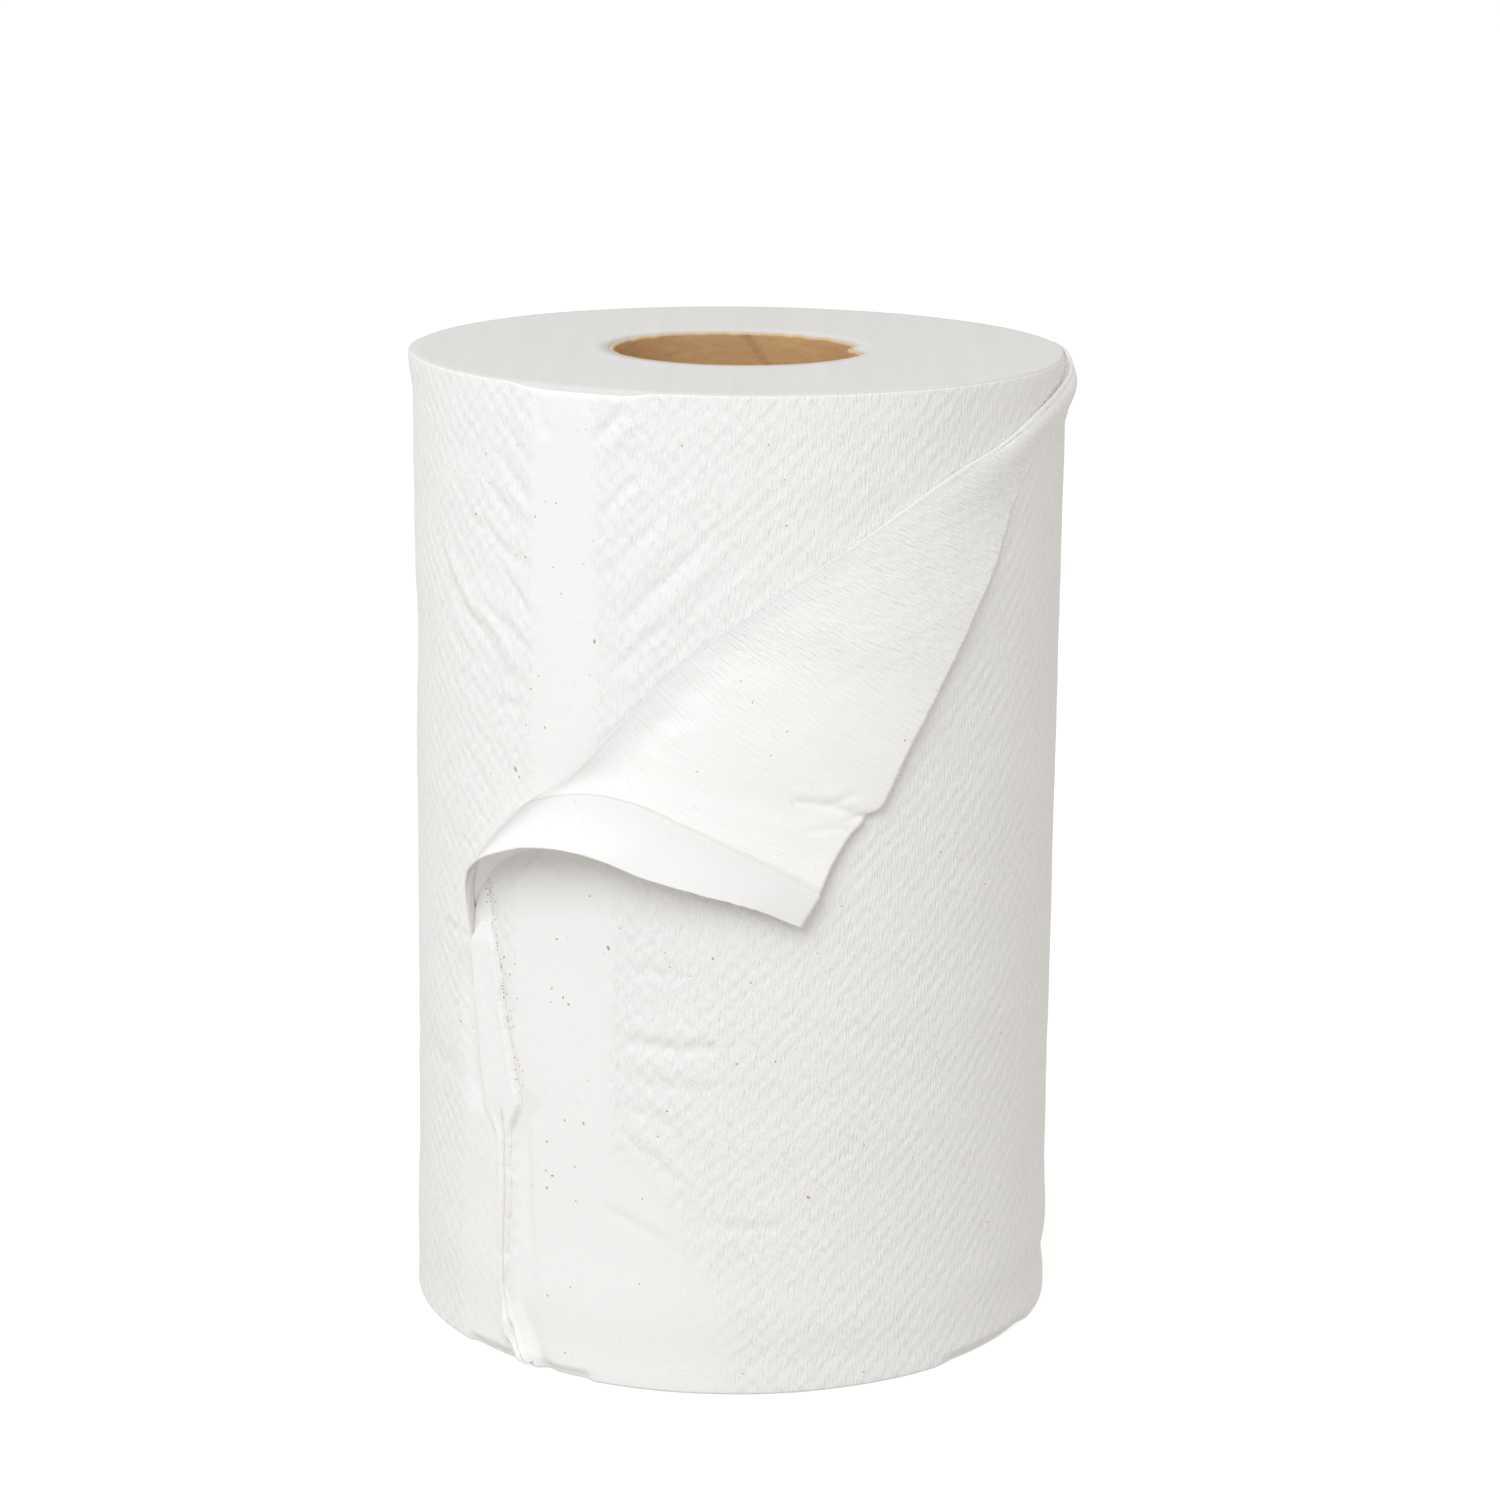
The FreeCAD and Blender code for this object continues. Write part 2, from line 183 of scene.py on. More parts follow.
LOWER_CREASES = [
    ([(-22.5, 87.4), (-15, 86.6), (-8, 86.2)], 1.3, 0.20, 0.10),
    ([(-23.8, 72.6), (-18, 72.1), (-12, 71.6), (-6, 71.8), (-1, 72.4)], 1.1, 0.34, 0.18),
    ([(-23, 66), (-15, 64.2), (-8, 63.6), (0, 64.4)], 1.3, 0.18, 0.12),
    ([(-21.5, 57.9), (-16, 57.3), (-11.5, 54.6)], 1.1, 0.18, 0.08),
    ([(-4, 35.4), (3, 35.0), (12, 35.6)], 1.0, 0.20, 0.08),
    ([(-22.5, 57.5), (-20.8, 53), (-19, 51), (-15.5, 49), (-12.5, 45.5), (-9.3, 42.8)], 0.8, 0.20, 0.16),
    ([(-27.5, 39.3), (-24.5, 36.8), (-20, 35), (-15.5, 32.8), (-11.6, 30.8)], 0.9, 0.16, 0.10),
    ([(-9.3, 41.6), (-11.4, 38.5), (-11.6, 35), (-11, 31), (-9.4, 27)], 0.45, 0.24, 0.10),
    ([(-4.6, 38), (-5.6, 33.6), (-5.2, 30.4), (-7.4, 26)], 0.8, 0.18, 0.08),
    ([(-27.2, 103), (-26.5, 92), (-26, 86), (-25.2, 80), (-24.4, 72), (-24, 66), (-23, 60), (-21.8, 56)],
     0.45, -0.12, 0.0),
    ([(-28.2, 84.8), (-28.3, 82), (-28.8, 79)], 0.4, 0.12, 0.0),
    ([(-33.6, 74.4), (-32.3, 70), (-32, 60), (-31.6, 52), (-30.6, 43.5)], 0.5, 0.09, 0.04),
    ([(-74, 87.2), (-66, 86.5), (-61, 86.1)], 0.7, 0.20, 0.08),
    ([(-84, 59.3), (-74, 57.6), (-65.5, 56.0)], 1.9, 0.20, 0.10),
    ([(-27.6, 22), (-31.5, 17.5), (-34, 12)], 1.0, 0.06, 0.04),
    ([(-44.9, 55), (-44.4, 46), (-44.2, 36), (-43.3, 26), (-42.2, 16), (-41.7, 9), (-41.9, 3)], 1.3, 0.42, 0.0),
    ([(-62.4, 86), (-61.8, 74), (-61.2, 66), (-60.2, 57), (-58.5, 49)], 2.6, 0.85, 0.0),
]
FLAP_CREASES = [
    ([(9.5, 122.2), (17.5, 120.8), (25.6, 117.6)], 0.7, 0.24, 0.10),
    ([(16.5, 121), (20, 121.7), (24.5, 123.6)], 0.6, 0.18, 0.08),
    ([(12, 115.5), (18, 116.2), (23.5, 115.4)], 0.7, 0.12, 0.06),
    ([(-16, 138.5), (-10.5, 137.5), (-6, 139)], 1.2, 0.14, 0.08),
    ([(-5, 147), (-11, 139.5), (-18, 131.5)], 2.4, 0.30, 0.0),
    ([(-16.5, 137.5), (-15.5, 133.5), (-12, 130.5)], 1.1, 0.10, 0.12),
    ([(-2, 126), (8, 121), (19, 116.5)], 2.4, 0.14, 0.06),
    ([(0, 118.5), (9, 114.5), (17, 110)], 1.8, 0.10, 0.06),
]

# Larger dark flecks in the paper: distance round, height and width
FLECKS = [
    (-47.1, 123.6, 1.1), (-46.1, 122.2, 0.6), (-58.2, 172.7, 0.7), (-28.1, 151.4, 0.8), (-41.6, 174.3, 0.6),
    (-39.5, 133.1, 0.6), (-44.1, 132.9, 0.45), (-40.9, 143.1, 0.5), (-42.9, 140.3, 0.5), (-35.5, 160.0, 0.5),
    (-37.4, 164.9, 0.45), (-30.7, 166.3, 0.45), (-36.6, 177.4, 0.5), (-39.1, 177.5, 0.4), (-46.7, 166.1, 0.5),
    (-55.0, 184.9, 0.5), (-54.3, 179.2, 0.4), (-29.9, 192.1, 0.4), (-10.6, 190.1, 0.5), (5.7, 190.6, 0.5),
    (9.4, 175.1, 0.6), (8.9, 183.9, 0.4), (-54.1, 121.4, 0.5), (-48.4, 152.0, 0.5), (-71.0, 168.0, 0.5),
    (0.9, 145.7, 0.5), (3.1, 141.6, 0.4), (9.6, 135.9, 0.4), (6.6, 131.3, 0.4), (-7.0, 128.0, 0.4),
    (-60.9, 84.9, 0.5), (-65.6, 67.6, 0.6), (-61.8, 67.1, 0.4), (-37.6, 80.8, 0.6), (-34.9, 79.4, 0.65),
    (-33.7, 78.2, 0.9), (-36.4, 91.1, 0.55), (-24.9, 90.9, 1.0), (-28.9, 100.9, 0.6), (-48.4, 81.6, 0.6),
    (-47.1, 84.0, 0.55), (-50.0, 84.9, 0.6), (-46.4, 77.1, 0.5), (-51.7, 76.8, 0.5), (-48.5, 74.0, 0.5),
    (-50.1, 66.6, 0.7), (-46.5, 64.2, 0.6), (-46.1, 63.1, 0.6), (-47.0, 60.0, 0.6), (-34.6, 54.1, 0.65),
    (-30.3, 54.2, 0.8), (-38.9, 48.8, 0.8), (-39.2, 42.7, 0.6), (-37.6, 41.9, 0.7), (-38.9, 39.1, 0.7),
    (-32.3, 44.8, 0.5), (-32.1, 37.7, 0.5), (-42.7, 38.6, 0.4), (-4.0, 90.3, 0.6), (-8.4, 86.6, 0.5),
    (3.4, 85.5, 0.5), (-13.3, 91.1, 0.4), (0.8, 69.0, 0.7), (8.4, 69.3, 0.6), (7.5, 69.3, 0.3),
    (-12.8, 58.8, 0.5), (-14.6, 53.4, 0.5), (13.8, 61.3, 0.4), (15.3, 41.0, 0.9), (-17.7, 40.2, 0.5),
    (-33.1, 19.4, 0.5), (-38.5, 16.5, 0.5), (-18.2, 22.4, 0.4), (-34.4, 5.1, 0.5), (56.4, 99.5, 0.55),
    (43.4, 108.3, 0.4), (59.8, 27.4, 0.6), (27.3, 2.9, 0.6), (48.5, 65.2, 0.5), (33.3, 71.2, 0.45),
    (35.6, 40.3, 0.4), (37.9, 46.4, 0.4), (29.2, 55.0, 0.4), (21.1, 100.2, 0.45), (-29.1, 144.7, 0.4),
]
# The number of small flecks along the hem, and how far outside the roll they start
HEM_FLECKS = 80
FLECK_START = 14.0
# The named inputs of the fleck tree with their kinds
FLECK_INPUTS = [("Geometry", "Geometry"), ("Turns", "Object"), ("Folded Corner", "Object"), ("Density", "Float"),
                ("Smallest", "Float"), ("Largest", "Float"), ("Flatness", "Float"), ("Seed", "Int")]

# Looks: how far the emboss wanders, in radians, the depth in millimetres of the line along the hem, how dark the
# painted shade is on the strip past the hem line and along the crest of the fold, and the colour of the board's worn
# rim
EMBOSS_SWAY = 4.0
HEM_LINE_DEPTH = 0.12
STRIP_SHADE = 0.09
FOLD_SHADE = 0.2
WORN_BOARD = (0.74, 0.60, 0.43, 1.0)

# The stage: colours of the lights and the sky, how much stronger the sky is overhead, and the floor's half side
# in metres and its glow
LIGHT_COLOUR = (0.96, 1.0, 1.08)
SKY_COLOUR = (1.02, 1.0, 0.965, 1.0)
SKY_FROM_ABOVE = 0.2
FLOOR_REACH = 12.0
FLOOR_GLOW = 0.62

# The camera that the photograph's frame was fitted with: place in metres, angles in degrees
CAMERA_PLACE = (0.0, -0.77881, 0.30543)
CAMERA_YAW = -0.2249
CAMERA_PITCH = 13.6928
CAMERA_ROLL = -0.5654
CAMERA_LENS = 92.295
SENSOR_WIDTH = 36.0


def length_setting(name, description, default, least=0.0001, digits=2):
    """A length on the panel."""
    return bpy.props.FloatProperty(name=name, description=description, default=default, min=least,
                                   precision=digits, unit="LENGTH")


def colour_setting(name, description, default):
    """A colour on the panel."""
    return bpy.props.FloatVectorProperty(name=name, description=description, default=default, subtype="COLOR",
                                         size=3, min=0.0, max=1.0)


def amount_setting(name, description, default, unit="NONE"):
    """An amount on the panel that isn't below zero."""
    return bpy.props.FloatProperty(name=name, description=description, default=default, min=0.0, unit=unit)


class TowelRollSizes(bpy.types.PropertyGroup):
    """Sizes of the roll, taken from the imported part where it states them"""

    roll_height: length_setting("Roll Height", "Height of the roll standing on its end", CORE_HIGH.z, 0.05)
    roll_radius: length_setting("Roll Radius", "Radius of the outermost turn", 0.0665, 0.03)
    core_radius: length_setting("Core Radius", "Outer radius of the cardboard core", CORE_HIGH.x, 0.01)
    bore_radius: length_setting("Bore Radius", "Inner radius of the cardboard core",
                                CORE_BORE["dims"]["r_mm"] * MM, 0.01)
    turn_thickness: length_setting("Turn Thickness", "Thickness of the outermost turn of paper", 0.00045)
    flap_thickness: length_setting("Flap Thickness", "Thickness of the folded corner of the sheet", 0.0005)
    hem_lift: length_setting("Hem Lift", "How far the torn hem stands out from the roll", 0.0012)
    rim_rounding: length_setting("Rim Rounding", "Radius of the rounded rims of the roll", 0.0007)
    fleck_density: amount_setting("Fleck Density", "Small fibre flecks on each square metre of paper", 2600.0)
    fleck_seed: bpy.props.IntProperty(
        name="Fleck Seed", description="Seed of the scatter of small flecks", default=4)


class TowelRollLooks(bpy.types.PropertyGroup):
    """Colours of the paper and the board, and the paper's relief"""

    paper: colour_setting("Paper", "Colour of the towel paper", (0.895, 0.886, 0.868))
    # The cut ends are darker than the paper, partly as end grain and partly as painted shade on the top face.
    cut_paper_and_top_shade: colour_setting("Cut Paper", "Colour of the cut ends of the turns", (0.675, 0.664, 0.646))
    kraft: colour_setting("Kraft", "Colour of the cardboard core", (0.57, 0.355, 0.17))
    fleck: colour_setting("Fleck", "Colour of the dark flecks", (0.42, 0.385, 0.34))
    emboss_row: length_setting("Emboss Row", "Distance between two rows of the emboss", 0.00205, 0.0005)
    emboss_depth: length_setting("Emboss Depth", "Height of the embossed dots", 0.00007, 0.0, 5)
    crepe_depth: length_setting("Crepe Depth", "Height of the fine crepe streaks", 0.00016, 0.0, 5)


class TowelRollStage(bpy.types.PropertyGroup):
    """Light and floor of the stage"""

    sky: amount_setting("Sky", "Strength of the even light from all round", 0.68)
    key_power: amount_setting("Key Power", "Power of the large soft light in front", 12.0, "POWER")
    side_power: amount_setting("Side Power", "Power of the soft light on the left", 0.42, "POWER")
    floor_colour: colour_setting("Floor", "Colour of the floor", (0.5, 0.5, 0.5))


def sizes():
    """The roll's sizes in the scene."""
    return bpy.context.scene.towel_roll_sizes


def looks():
    """The roll's colours in the scene."""
    return bpy.context.scene.towel_roll_looks


def eased(value):
    """A share from 0 to 1 that starts and ends gently."""
    share = np.clip(value, 0.0, 1.0)
    return share * share * (3 - 2 * share)


def within(value, low, high, soft):
    """1 between two limits and 0 outside them, with soft borders."""
    return eased((value - low) / soft + 0.5) * eased((high - value) / soft + 0.5)


def bell(value, middle, reach):
    """1 at a middle value, falling to 0 on both sides of it."""
    return np.exp(-((value - middle) / reach) ** 2)


def smooth_path(points, steps):
    """A smooth curve through a row of points, with a number of steps from each to the next."""
    points = np.asarray(points, float)
    steps = np.broadcast_to(steps, len(points) - 1)
    spans = np.linalg.norm(np.diff(points, axis=0), axis=-1, keepdims=True) + 1e-9
    pace = np.diff(points, axis=0) / spans
    inner = (pace[:-1] * spans[1:] + pace[1:] * spans[:-1]) / (spans[1:] + spans[:-1])
    slopes = np.concatenate([1.5 * pace[:1] - 0.5 * inner[:1], inner, 1.5 * pace[-1:] - 0.5 * inner[-1:]])
    parts = []
    for k, count in enumerate(steps):
        t = np.arange(count).reshape((-1,) + (1,) * (points.ndim - 1)) / count
        parts.append((2 * t ** 3 - 3 * t ** 2 + 1) * points[k] + (3 * t ** 2 - 2 * t ** 3) * points[k + 1]
                     + (t ** 3 - 2 * t ** 2 + t) * slopes[k] * spans[k]
                     + (t ** 3 - t ** 2) * slopes[k + 1] * spans[k])
    return np.concatenate(parts + [points[-1:]])


def even_path(points, count):
    """A smooth curve through a row of points, cut into equal lengths."""
    path = smooth_path(points, 40)
    scale = np.array([math.radians(1) * sizes().roll_radius / MM, 1, 1])
    length = np.append(0, np.cumsum(np.linalg.norm(np.diff(path * scale, axis=0), axis=1)))
    wanted = np.linspace(0, length[-1], count + 1)
    return np.stack([np.interp(wanted, length, path[:, k]) for k in range(3)], -1)


def ripples(around, up, length, seed, stretch=1.0):
    """An even random relief from about -1 to 1, whose bumps are about a length apart and stretched upwards."""
    chance = np.random.default_rng(seed)
    total = np.zeros_like(around)
    waves = 14
    for _ in range(waves):
        heading = chance.uniform(0, math.pi)
        pace = 2 * math.pi / (length * chance.uniform(0.7, 1.5))
        start = chance.uniform(0, 2 * math.pi)
        total += np.cos(pace * (around * math.cos(heading) + up / stretch * math.sin(heading)) + start)
    return total / math.sqrt(waves) * 0.7


def rippled(around, up, *waves):
    """Ripples added up, each given by its height, length, seed and, if it has one, stretch."""
    return sum(height * ripples(around, up, *kind) for height, *kind in waves)


def crease(around, up, places, width, depth, swell):
    """The relief of one crease, in millimetres: a groove along its line and a swelling on the line's left."""
    line = smooth_path(places, 16)
    reach = 6 * width
    low, high = line.min(0) - reach, line.max(0) + reach
    near = (around > low[0]) & (around < high[0]) & (up > low[1]) & (up < high[1])
    relief = np.zeros_like(around)
    if not near.any():
        return relief
    spots = np.stack([around[near], up[near]], -1)
    headings = np.gradient(line, axis=0)
    headings /= np.linalg.norm(headings, axis=1, keepdims=True)
    gaps = spots[:, None, :] - line[None, :, :]
    spans = np.hypot(gaps[..., 0], gaps[..., 1])
    nearest = spans.argmin(1)
    gap = gaps[np.arange(len(spots)), nearest]
    turned = headings[nearest, 0] * gap[:, 1] - headings[nearest, 1] * gap[:, 0]
    distance = np.copysign(spans[np.arange(len(spots)), nearest], turned)
    share = nearest / (len(line) - 1)
    fade = eased(np.minimum(share, 1 - share) / 0.22)
    relief[near] = fade * (swell * bell(distance, 2.2 * width, 1.7 * width) - depth * bell(distance, 0, width))
    return relief


def creased(around, up, *groups):
    """The relief of several groups of creases together, in millimetres."""
    return sum(crease(around, up, places, CREASE_SPREAD * width, depth, swell)
               for group in groups for places, width, depth, swell in group)


def round_axis(angle, radius, up):
    """Points at angles round the roll's axis, from radii and heights in millimetres."""
    turn = np.radians(angle)
    return np.stack(np.broadcast_arrays(radius * np.sin(turn), -radius * np.cos(turn), up), -1) * MM


def on_roll(angle, up, lift):
    """Points at angles, heights and lifts from the roll's side, the last two in millimetres."""
    return round_axis(angle, sizes().roll_radius / MM + np.asarray(lift), up)


def place_on_side(points):
    """Distance round and height, in millimetres, of points near the roll's side."""
    angle = np.arctan2(points[..., 0], -points[..., 1])
    return angle * sizes().roll_radius / MM, points[..., 2] / MM


def quads(rows, columns, closed=False):
    """The four-sided faces between the points of a grid, which may be closed both ways."""
    i, j = np.meshgrid(np.arange(rows - 1 + closed), np.arange(columns - 1 + closed), indexing="ij")
    next_i, next_j = (i + 1) % rows, (j + 1) % columns
    corners = [i * columns + j, i * columns + next_j, next_i * columns + next_j, next_i * columns + j]
    return np.stack(corners, -1).reshape(-1, 4)


def grid_uv(first, second):
    """The UV of each corner of a grid's faces, from two coordinates at its points."""
    both = np.stack([first, second], -1)
    corners = [both[:-1, :-1], both[:-1, 1:], both[1:, 1:], both[1:, :-1]]
    return np.stack(corners, 2).reshape(-1, 4, 2)


def new_piece(name, points, faces, materials, uv=None, finish=None, attributes=None):
    """A smooth shaded mesh object with its materials, UV map and vertex values."""
    mesh = bpy.data.meshes.new(name)
    mesh.from_pydata(points.reshape(-1, 3).tolist(), [], faces.tolist())
    for material in materials:
        mesh.materials.append(material)
    if finish is not None:
        mesh.polygons.foreach_set("material_index", np.asarray(finish, np.int32))
    if uv is not None:
        layer = mesh.uv_layers.new(name="sheet")
        layer.data.foreach_set("uv", np.asarray(uv, np.float32).ravel())
    for title, values in (attributes or {}).items():
        attribute = mesh.attributes.new(title, "FLOAT", "POINT")
        attribute.data.foreach_set("value", np.asarray(values, np.float32).ravel())
    mesh.shade_smooth()
    mesh.update()
    return in_scene(mesh)


def in_scene(data):
    """A new object of some data, in the scene under the data's name."""
    item = bpy.data.objects.new(data.name, data)
    bpy.context.scene.collection.objects.link(item)
    return item


def new_node(tree, kind, inputs=None, **settings):
    """A node of a kind with its settings, and with inputs that are linked or given values."""
    node = tree.nodes.new(kind)
    for name, value in settings.items():
        setattr(node, name, value)
    for title, value in (inputs or {}).items():
        if isinstance(value, bpy.types.NodeSocket):
            tree.links.new(value, node.inputs[title])
        else:
            node.inputs[title].default_value = value
    return node


def worked(tree, operation, *values):
    """The result of a Math node."""
    return new_node(tree, "ShaderNodeMath", dict(enumerate(values)), operation=operation).outputs[0]


def product(tree, first, *others):
    """Values multiplied one after the other."""
    for value in others:
        first = worked(tree, "MULTIPLY", first, value)
    return first


def noise_of(tree, vector, scale, detail=2.0, roughness=0.5):
    """The value of a Noise Texture on a vector."""
    inputs = {"Vector": vector, "Scale": scale, "Detail": detail, "Roughness": roughness}
    return new_node(tree, "ShaderNodeTexNoise", inputs).outputs["Fac"]


def stretched(tree, vector, scale, turn=0.0):
    """A vector turned about Z and scaled by a Mapping node."""
    inputs = {"Vector": vector, "Rotation": (0.0, 0.0, turn), "Scale": scale}
    return new_node(tree, "ShaderNodeMapping", inputs).outputs["Vector"]


def mixed(tree, share, first, second):
    """Two colours mixed by a share."""
    inputs = {"Factor": share, "A": first, "B": second}
    return new_node(tree, "ShaderNodeMix", inputs, data_type="RGBA").outputs["Result"]


def value_of(tree, name):
    """A vertex value of the piece, by its name."""
    return new_node(tree, "ShaderNodeAttribute", attribute_name=name).outputs["Fac"]


def object_place(tree):
    """The place on the piece in its own coordinates."""
    return new_node(tree, "ShaderNodeTexCoord").outputs["Object"]


def tinted(colour, factor):
    """A colour made lighter or darker, with its alpha."""
    return tuple(min(1.0, c * factor) for c in colour) + (1.0,)


def new_material(name, roughness, specular):
    """An empty matt material, its tree and its shader."""
    material = bpy.data.materials.new(name)
    material.use_nodes = True
    tree = material.node_tree
    shader = tree.nodes["Principled BSDF"]
    shader.inputs["Roughness"].default_value = roughness
    shader.inputs["Specular IOR Level"].default_value = specular
    return material, tree, shader


def finished(tree, shader, colour, height=None):
    """Gives the shader its colour, and a bump whose height is in millimetres."""
    tree.links.new(colour, shader.inputs["Base Color"])
    if height is not None:
        bump = new_node(tree, "ShaderNodeBump", {"Distance": MM, "Strength": 1.0, "Height": height})
        tree.links.new(bump.outputs["Normal"], shader.inputs["Normal"])


def towel_material(underside=False):
    """Creped white tissue, staggered emboss fading where glued or pressed; painted shade on the hem crease, painted
    light and shade on the underside.
    """
    # The underside copy is painted lighter than the sheet by a factor, as painted light on the folded corner; its
    # emboss is weaker.
    name, painted_light_factor, embossing = ("towel_underside", 1.05, 0.45) if underside else ("towel_sheet", 1.0, 1.0)
    known = bpy.data.materials.get(name)
    if known:
        return known
    look = looks()
    material, tree, shader = new_material(name, 0.92, 0.12)
    place = new_node(tree, "ShaderNodeUVMap", uv_map="sheet").outputs["UV"]
    pressed, gap = value_of(tree, "pressed"), value_of(tree, "to_hem")
    parts = new_node(tree, "ShaderNodeSeparateXYZ", {0: place})
    rows = []
    for axis, spot in (("X", place), ("Y", stretched(tree, place, (1.0, 1.0, 1.0), 2.0))):
        sway = product(tree, worked(tree, "SUBTRACT", noise_of(tree, spot, 170.0), 0.5), EMBOSS_SWAY)
        row = worked(tree, "MULTIPLY_ADD", parts.outputs[axis], math.pi / look.emboss_row, sway)
        rows.append(worked(tree, "COSINE", row))
    patchy = worked(tree, "MULTIPLY_ADD", noise_of(tree, place, 90.0, 3.0), 2.2, -0.2)
    free = worked(tree, "MULTIPLY_ADD", pressed, -0.92, 1.0)
    emboss = product(tree, *rows, patchy, free, look.emboss_depth * embossing / MM)
    streaks = noise_of(tree, stretched(tree, place, (2300.0, 420.0, 1.0)), 1.0, 2.0, 0.55)
    soft = worked(tree, "MULTIPLY_ADD", pressed, -0.65, 1.0)
    crepe = product(tree, streaks, look.crepe_depth * 2.2 / MM, soft)
    # A narrow line where the distance to the hem is near 0: a real groove in the bump, and darkened in colour as
    # painted shade in the hem's crease.
    line = worked(tree, "EXPONENT", product(tree, gap, gap, -14.0))
    relief = worked(tree, "MULTIPLY_ADD", line, -HEM_LINE_DEPTH, worked(tree, "ADD", emboss, crepe))
    cloudy = noise_of(tree, place, 38.0, 3.0)
    colour = mixed(tree, cloudy, tinted(look.paper, 0.985 * painted_light_factor), tinted(look.paper, 1.012 * painted_light_factor))
    lint = worked(tree, "GREATER_THAN", noise_of(tree, place, 900.0, 1.0), 0.735)
    tones = [(lint, 0.14, tinted(look.fleck, 1.2)), (line, 0.17, tinted(look.fleck, 1.2))]
    if underside:
        # Painted shade on the strip past the hem line, where the distance to the hem is below 0.
        shaded_strip = worked(tree, "LESS_THAN", gap, 0.0)
        # Painted shade along the fold's crest, from the value the folded corner carries.
        tones += [(shaded_strip, STRIP_SHADE, BLACK), (value_of(tree, "at_fold"), FOLD_SHADE, BLACK)]
    for share, strength, tone in tones:
        colour = mixed(tree, product(tree, share, strength), colour, tone)
    finished(tree, shader, colour, relief)
    return material


def cut_end_material():
    """The sawn end of the turns: nearly smooth, with faint straight knife marks from front to back."""
    look = looks()
    material, tree, shader = new_material("towel_cut_end", 0.9, 0.12)
    place = object_place(tree)
    marks = [noise_of(tree, stretched(tree, place, scale, math.radians(turn)), 1.0, 3.0, 0.6)
             for scale, turn in (((420.0, 9.0, 9.0), 13), ((300.0, 7.0, 7.0), 5))]
    marks = product(tree, worked(tree, "ADD", *marks), 0.5)
    grain = product(tree, noise_of(tree, place, 1300.0), 0.035)
    share = worked(tree, "MULTIPLY_ADD", marks, 1.6, -0.3)
    # The cut ends' colour is darker than the paper's: end grain, and painted shade on the top face.
    colour = mixed(tree, share, tinted(look.cut_paper_and_top_shade, 0.95), tinted(look.cut_paper_and_top_shade, 1.03))
    finished(tree, shader, colour, worked(tree, "MULTIPLY_ADD", marks, 0.09, grain))
    return material


def kraft_material():
    """Brown board with fine fibres that run round the tube, cloudy patches, a worn rim and a darker seam."""
    kraft = looks().kraft
    material, tree, shader = new_material("kraft_board", 0.8, 0.2)
    place = object_place(tree)
    fibres = noise_of(tree, stretched(tree, place, (260.0, 260.0, 900.0)), 1.0, 4.0, 0.65)
    cloudy = worked(tree, "MULTIPLY_ADD", noise_of(tree, place, 55.0), 0.9, -0.3)
    colour = mixed(tree, fibres, tinted(kraft, 0.74), tinted(kraft, 1.26))
    colour = mixed(tree, cloudy, colour, tinted(kraft, 0.8))
    colour = mixed(tree, product(tree, value_of(tree, "seam"), 0.55), colour, tinted(kraft, 0.6))
    colour = mixed(tree, product(tree, value_of(tree, "worn"), 0.45), colour, WORN_BOARD)
    finished(tree, shader, colour, product(tree, fibres, 0.05))
    return material


def fleck_material():
    """Small dark bits of fibre, from grey to brown."""
    fleck = looks().fleck
    material, tree, shader = new_material("paper_fleck", 0.9, 0.1)
    share = noise_of(tree, object_place(tree), 140.0, 1.0)
    finished(tree, shader, mixed(tree, share, tinted(fleck, 0.7), tinted(fleck, 1.5)))
    return material


def pressed_on_side(around, up):
    """How far the side's emboss is pressed flat: 1 in the glue bands and towards the foot of the tail, else 0."""
    upper = within(around, -42.2, -28.3, 3.0) * eased((up - 104) / 6)
    lower = within(around, -47, -24.5, 3.0) * eased((106 - up) / 6)
    foot_edge = -2 - np.clip(up - 20, 0, 40) * 0.45
    foot = eased((around + 48) / 3) * eased((foot_edge - around) / 14 + 0.5) * eased((52 - up) / 8)
    beside = within(around, -64, -52, 4.0) * eased((100 - up) / 8) * 0.6
    return np.clip(np.maximum.reduce([upper, lower, foot, beside]), 0, 1)


def under_the_peel(angle, up):
    """1 where the outer turn is peeled off, above the fold, and 0 elsewhere."""
    edge = np.interp(angle, *np.array(PEEL_LINE, float).T)
    return eased((up - edge) / 1.2 + 0.5) * within(angle, -60, PEEL_END_ANGLE, 1.5)


def hem_edge(edge, up, *above):
    """Where one of the hem's edges lies round the roll at given heights, with places added above it."""
    return np.interp(up, *np.array([*edge[::-1], *above], float).T)


def right_of_hem(around, up):
    """How far a place on the side lies to the right of the torn hem, or of the glue line above it."""
    return around - hem_edge(HEM_RIGHT, up, (106, -57.6))


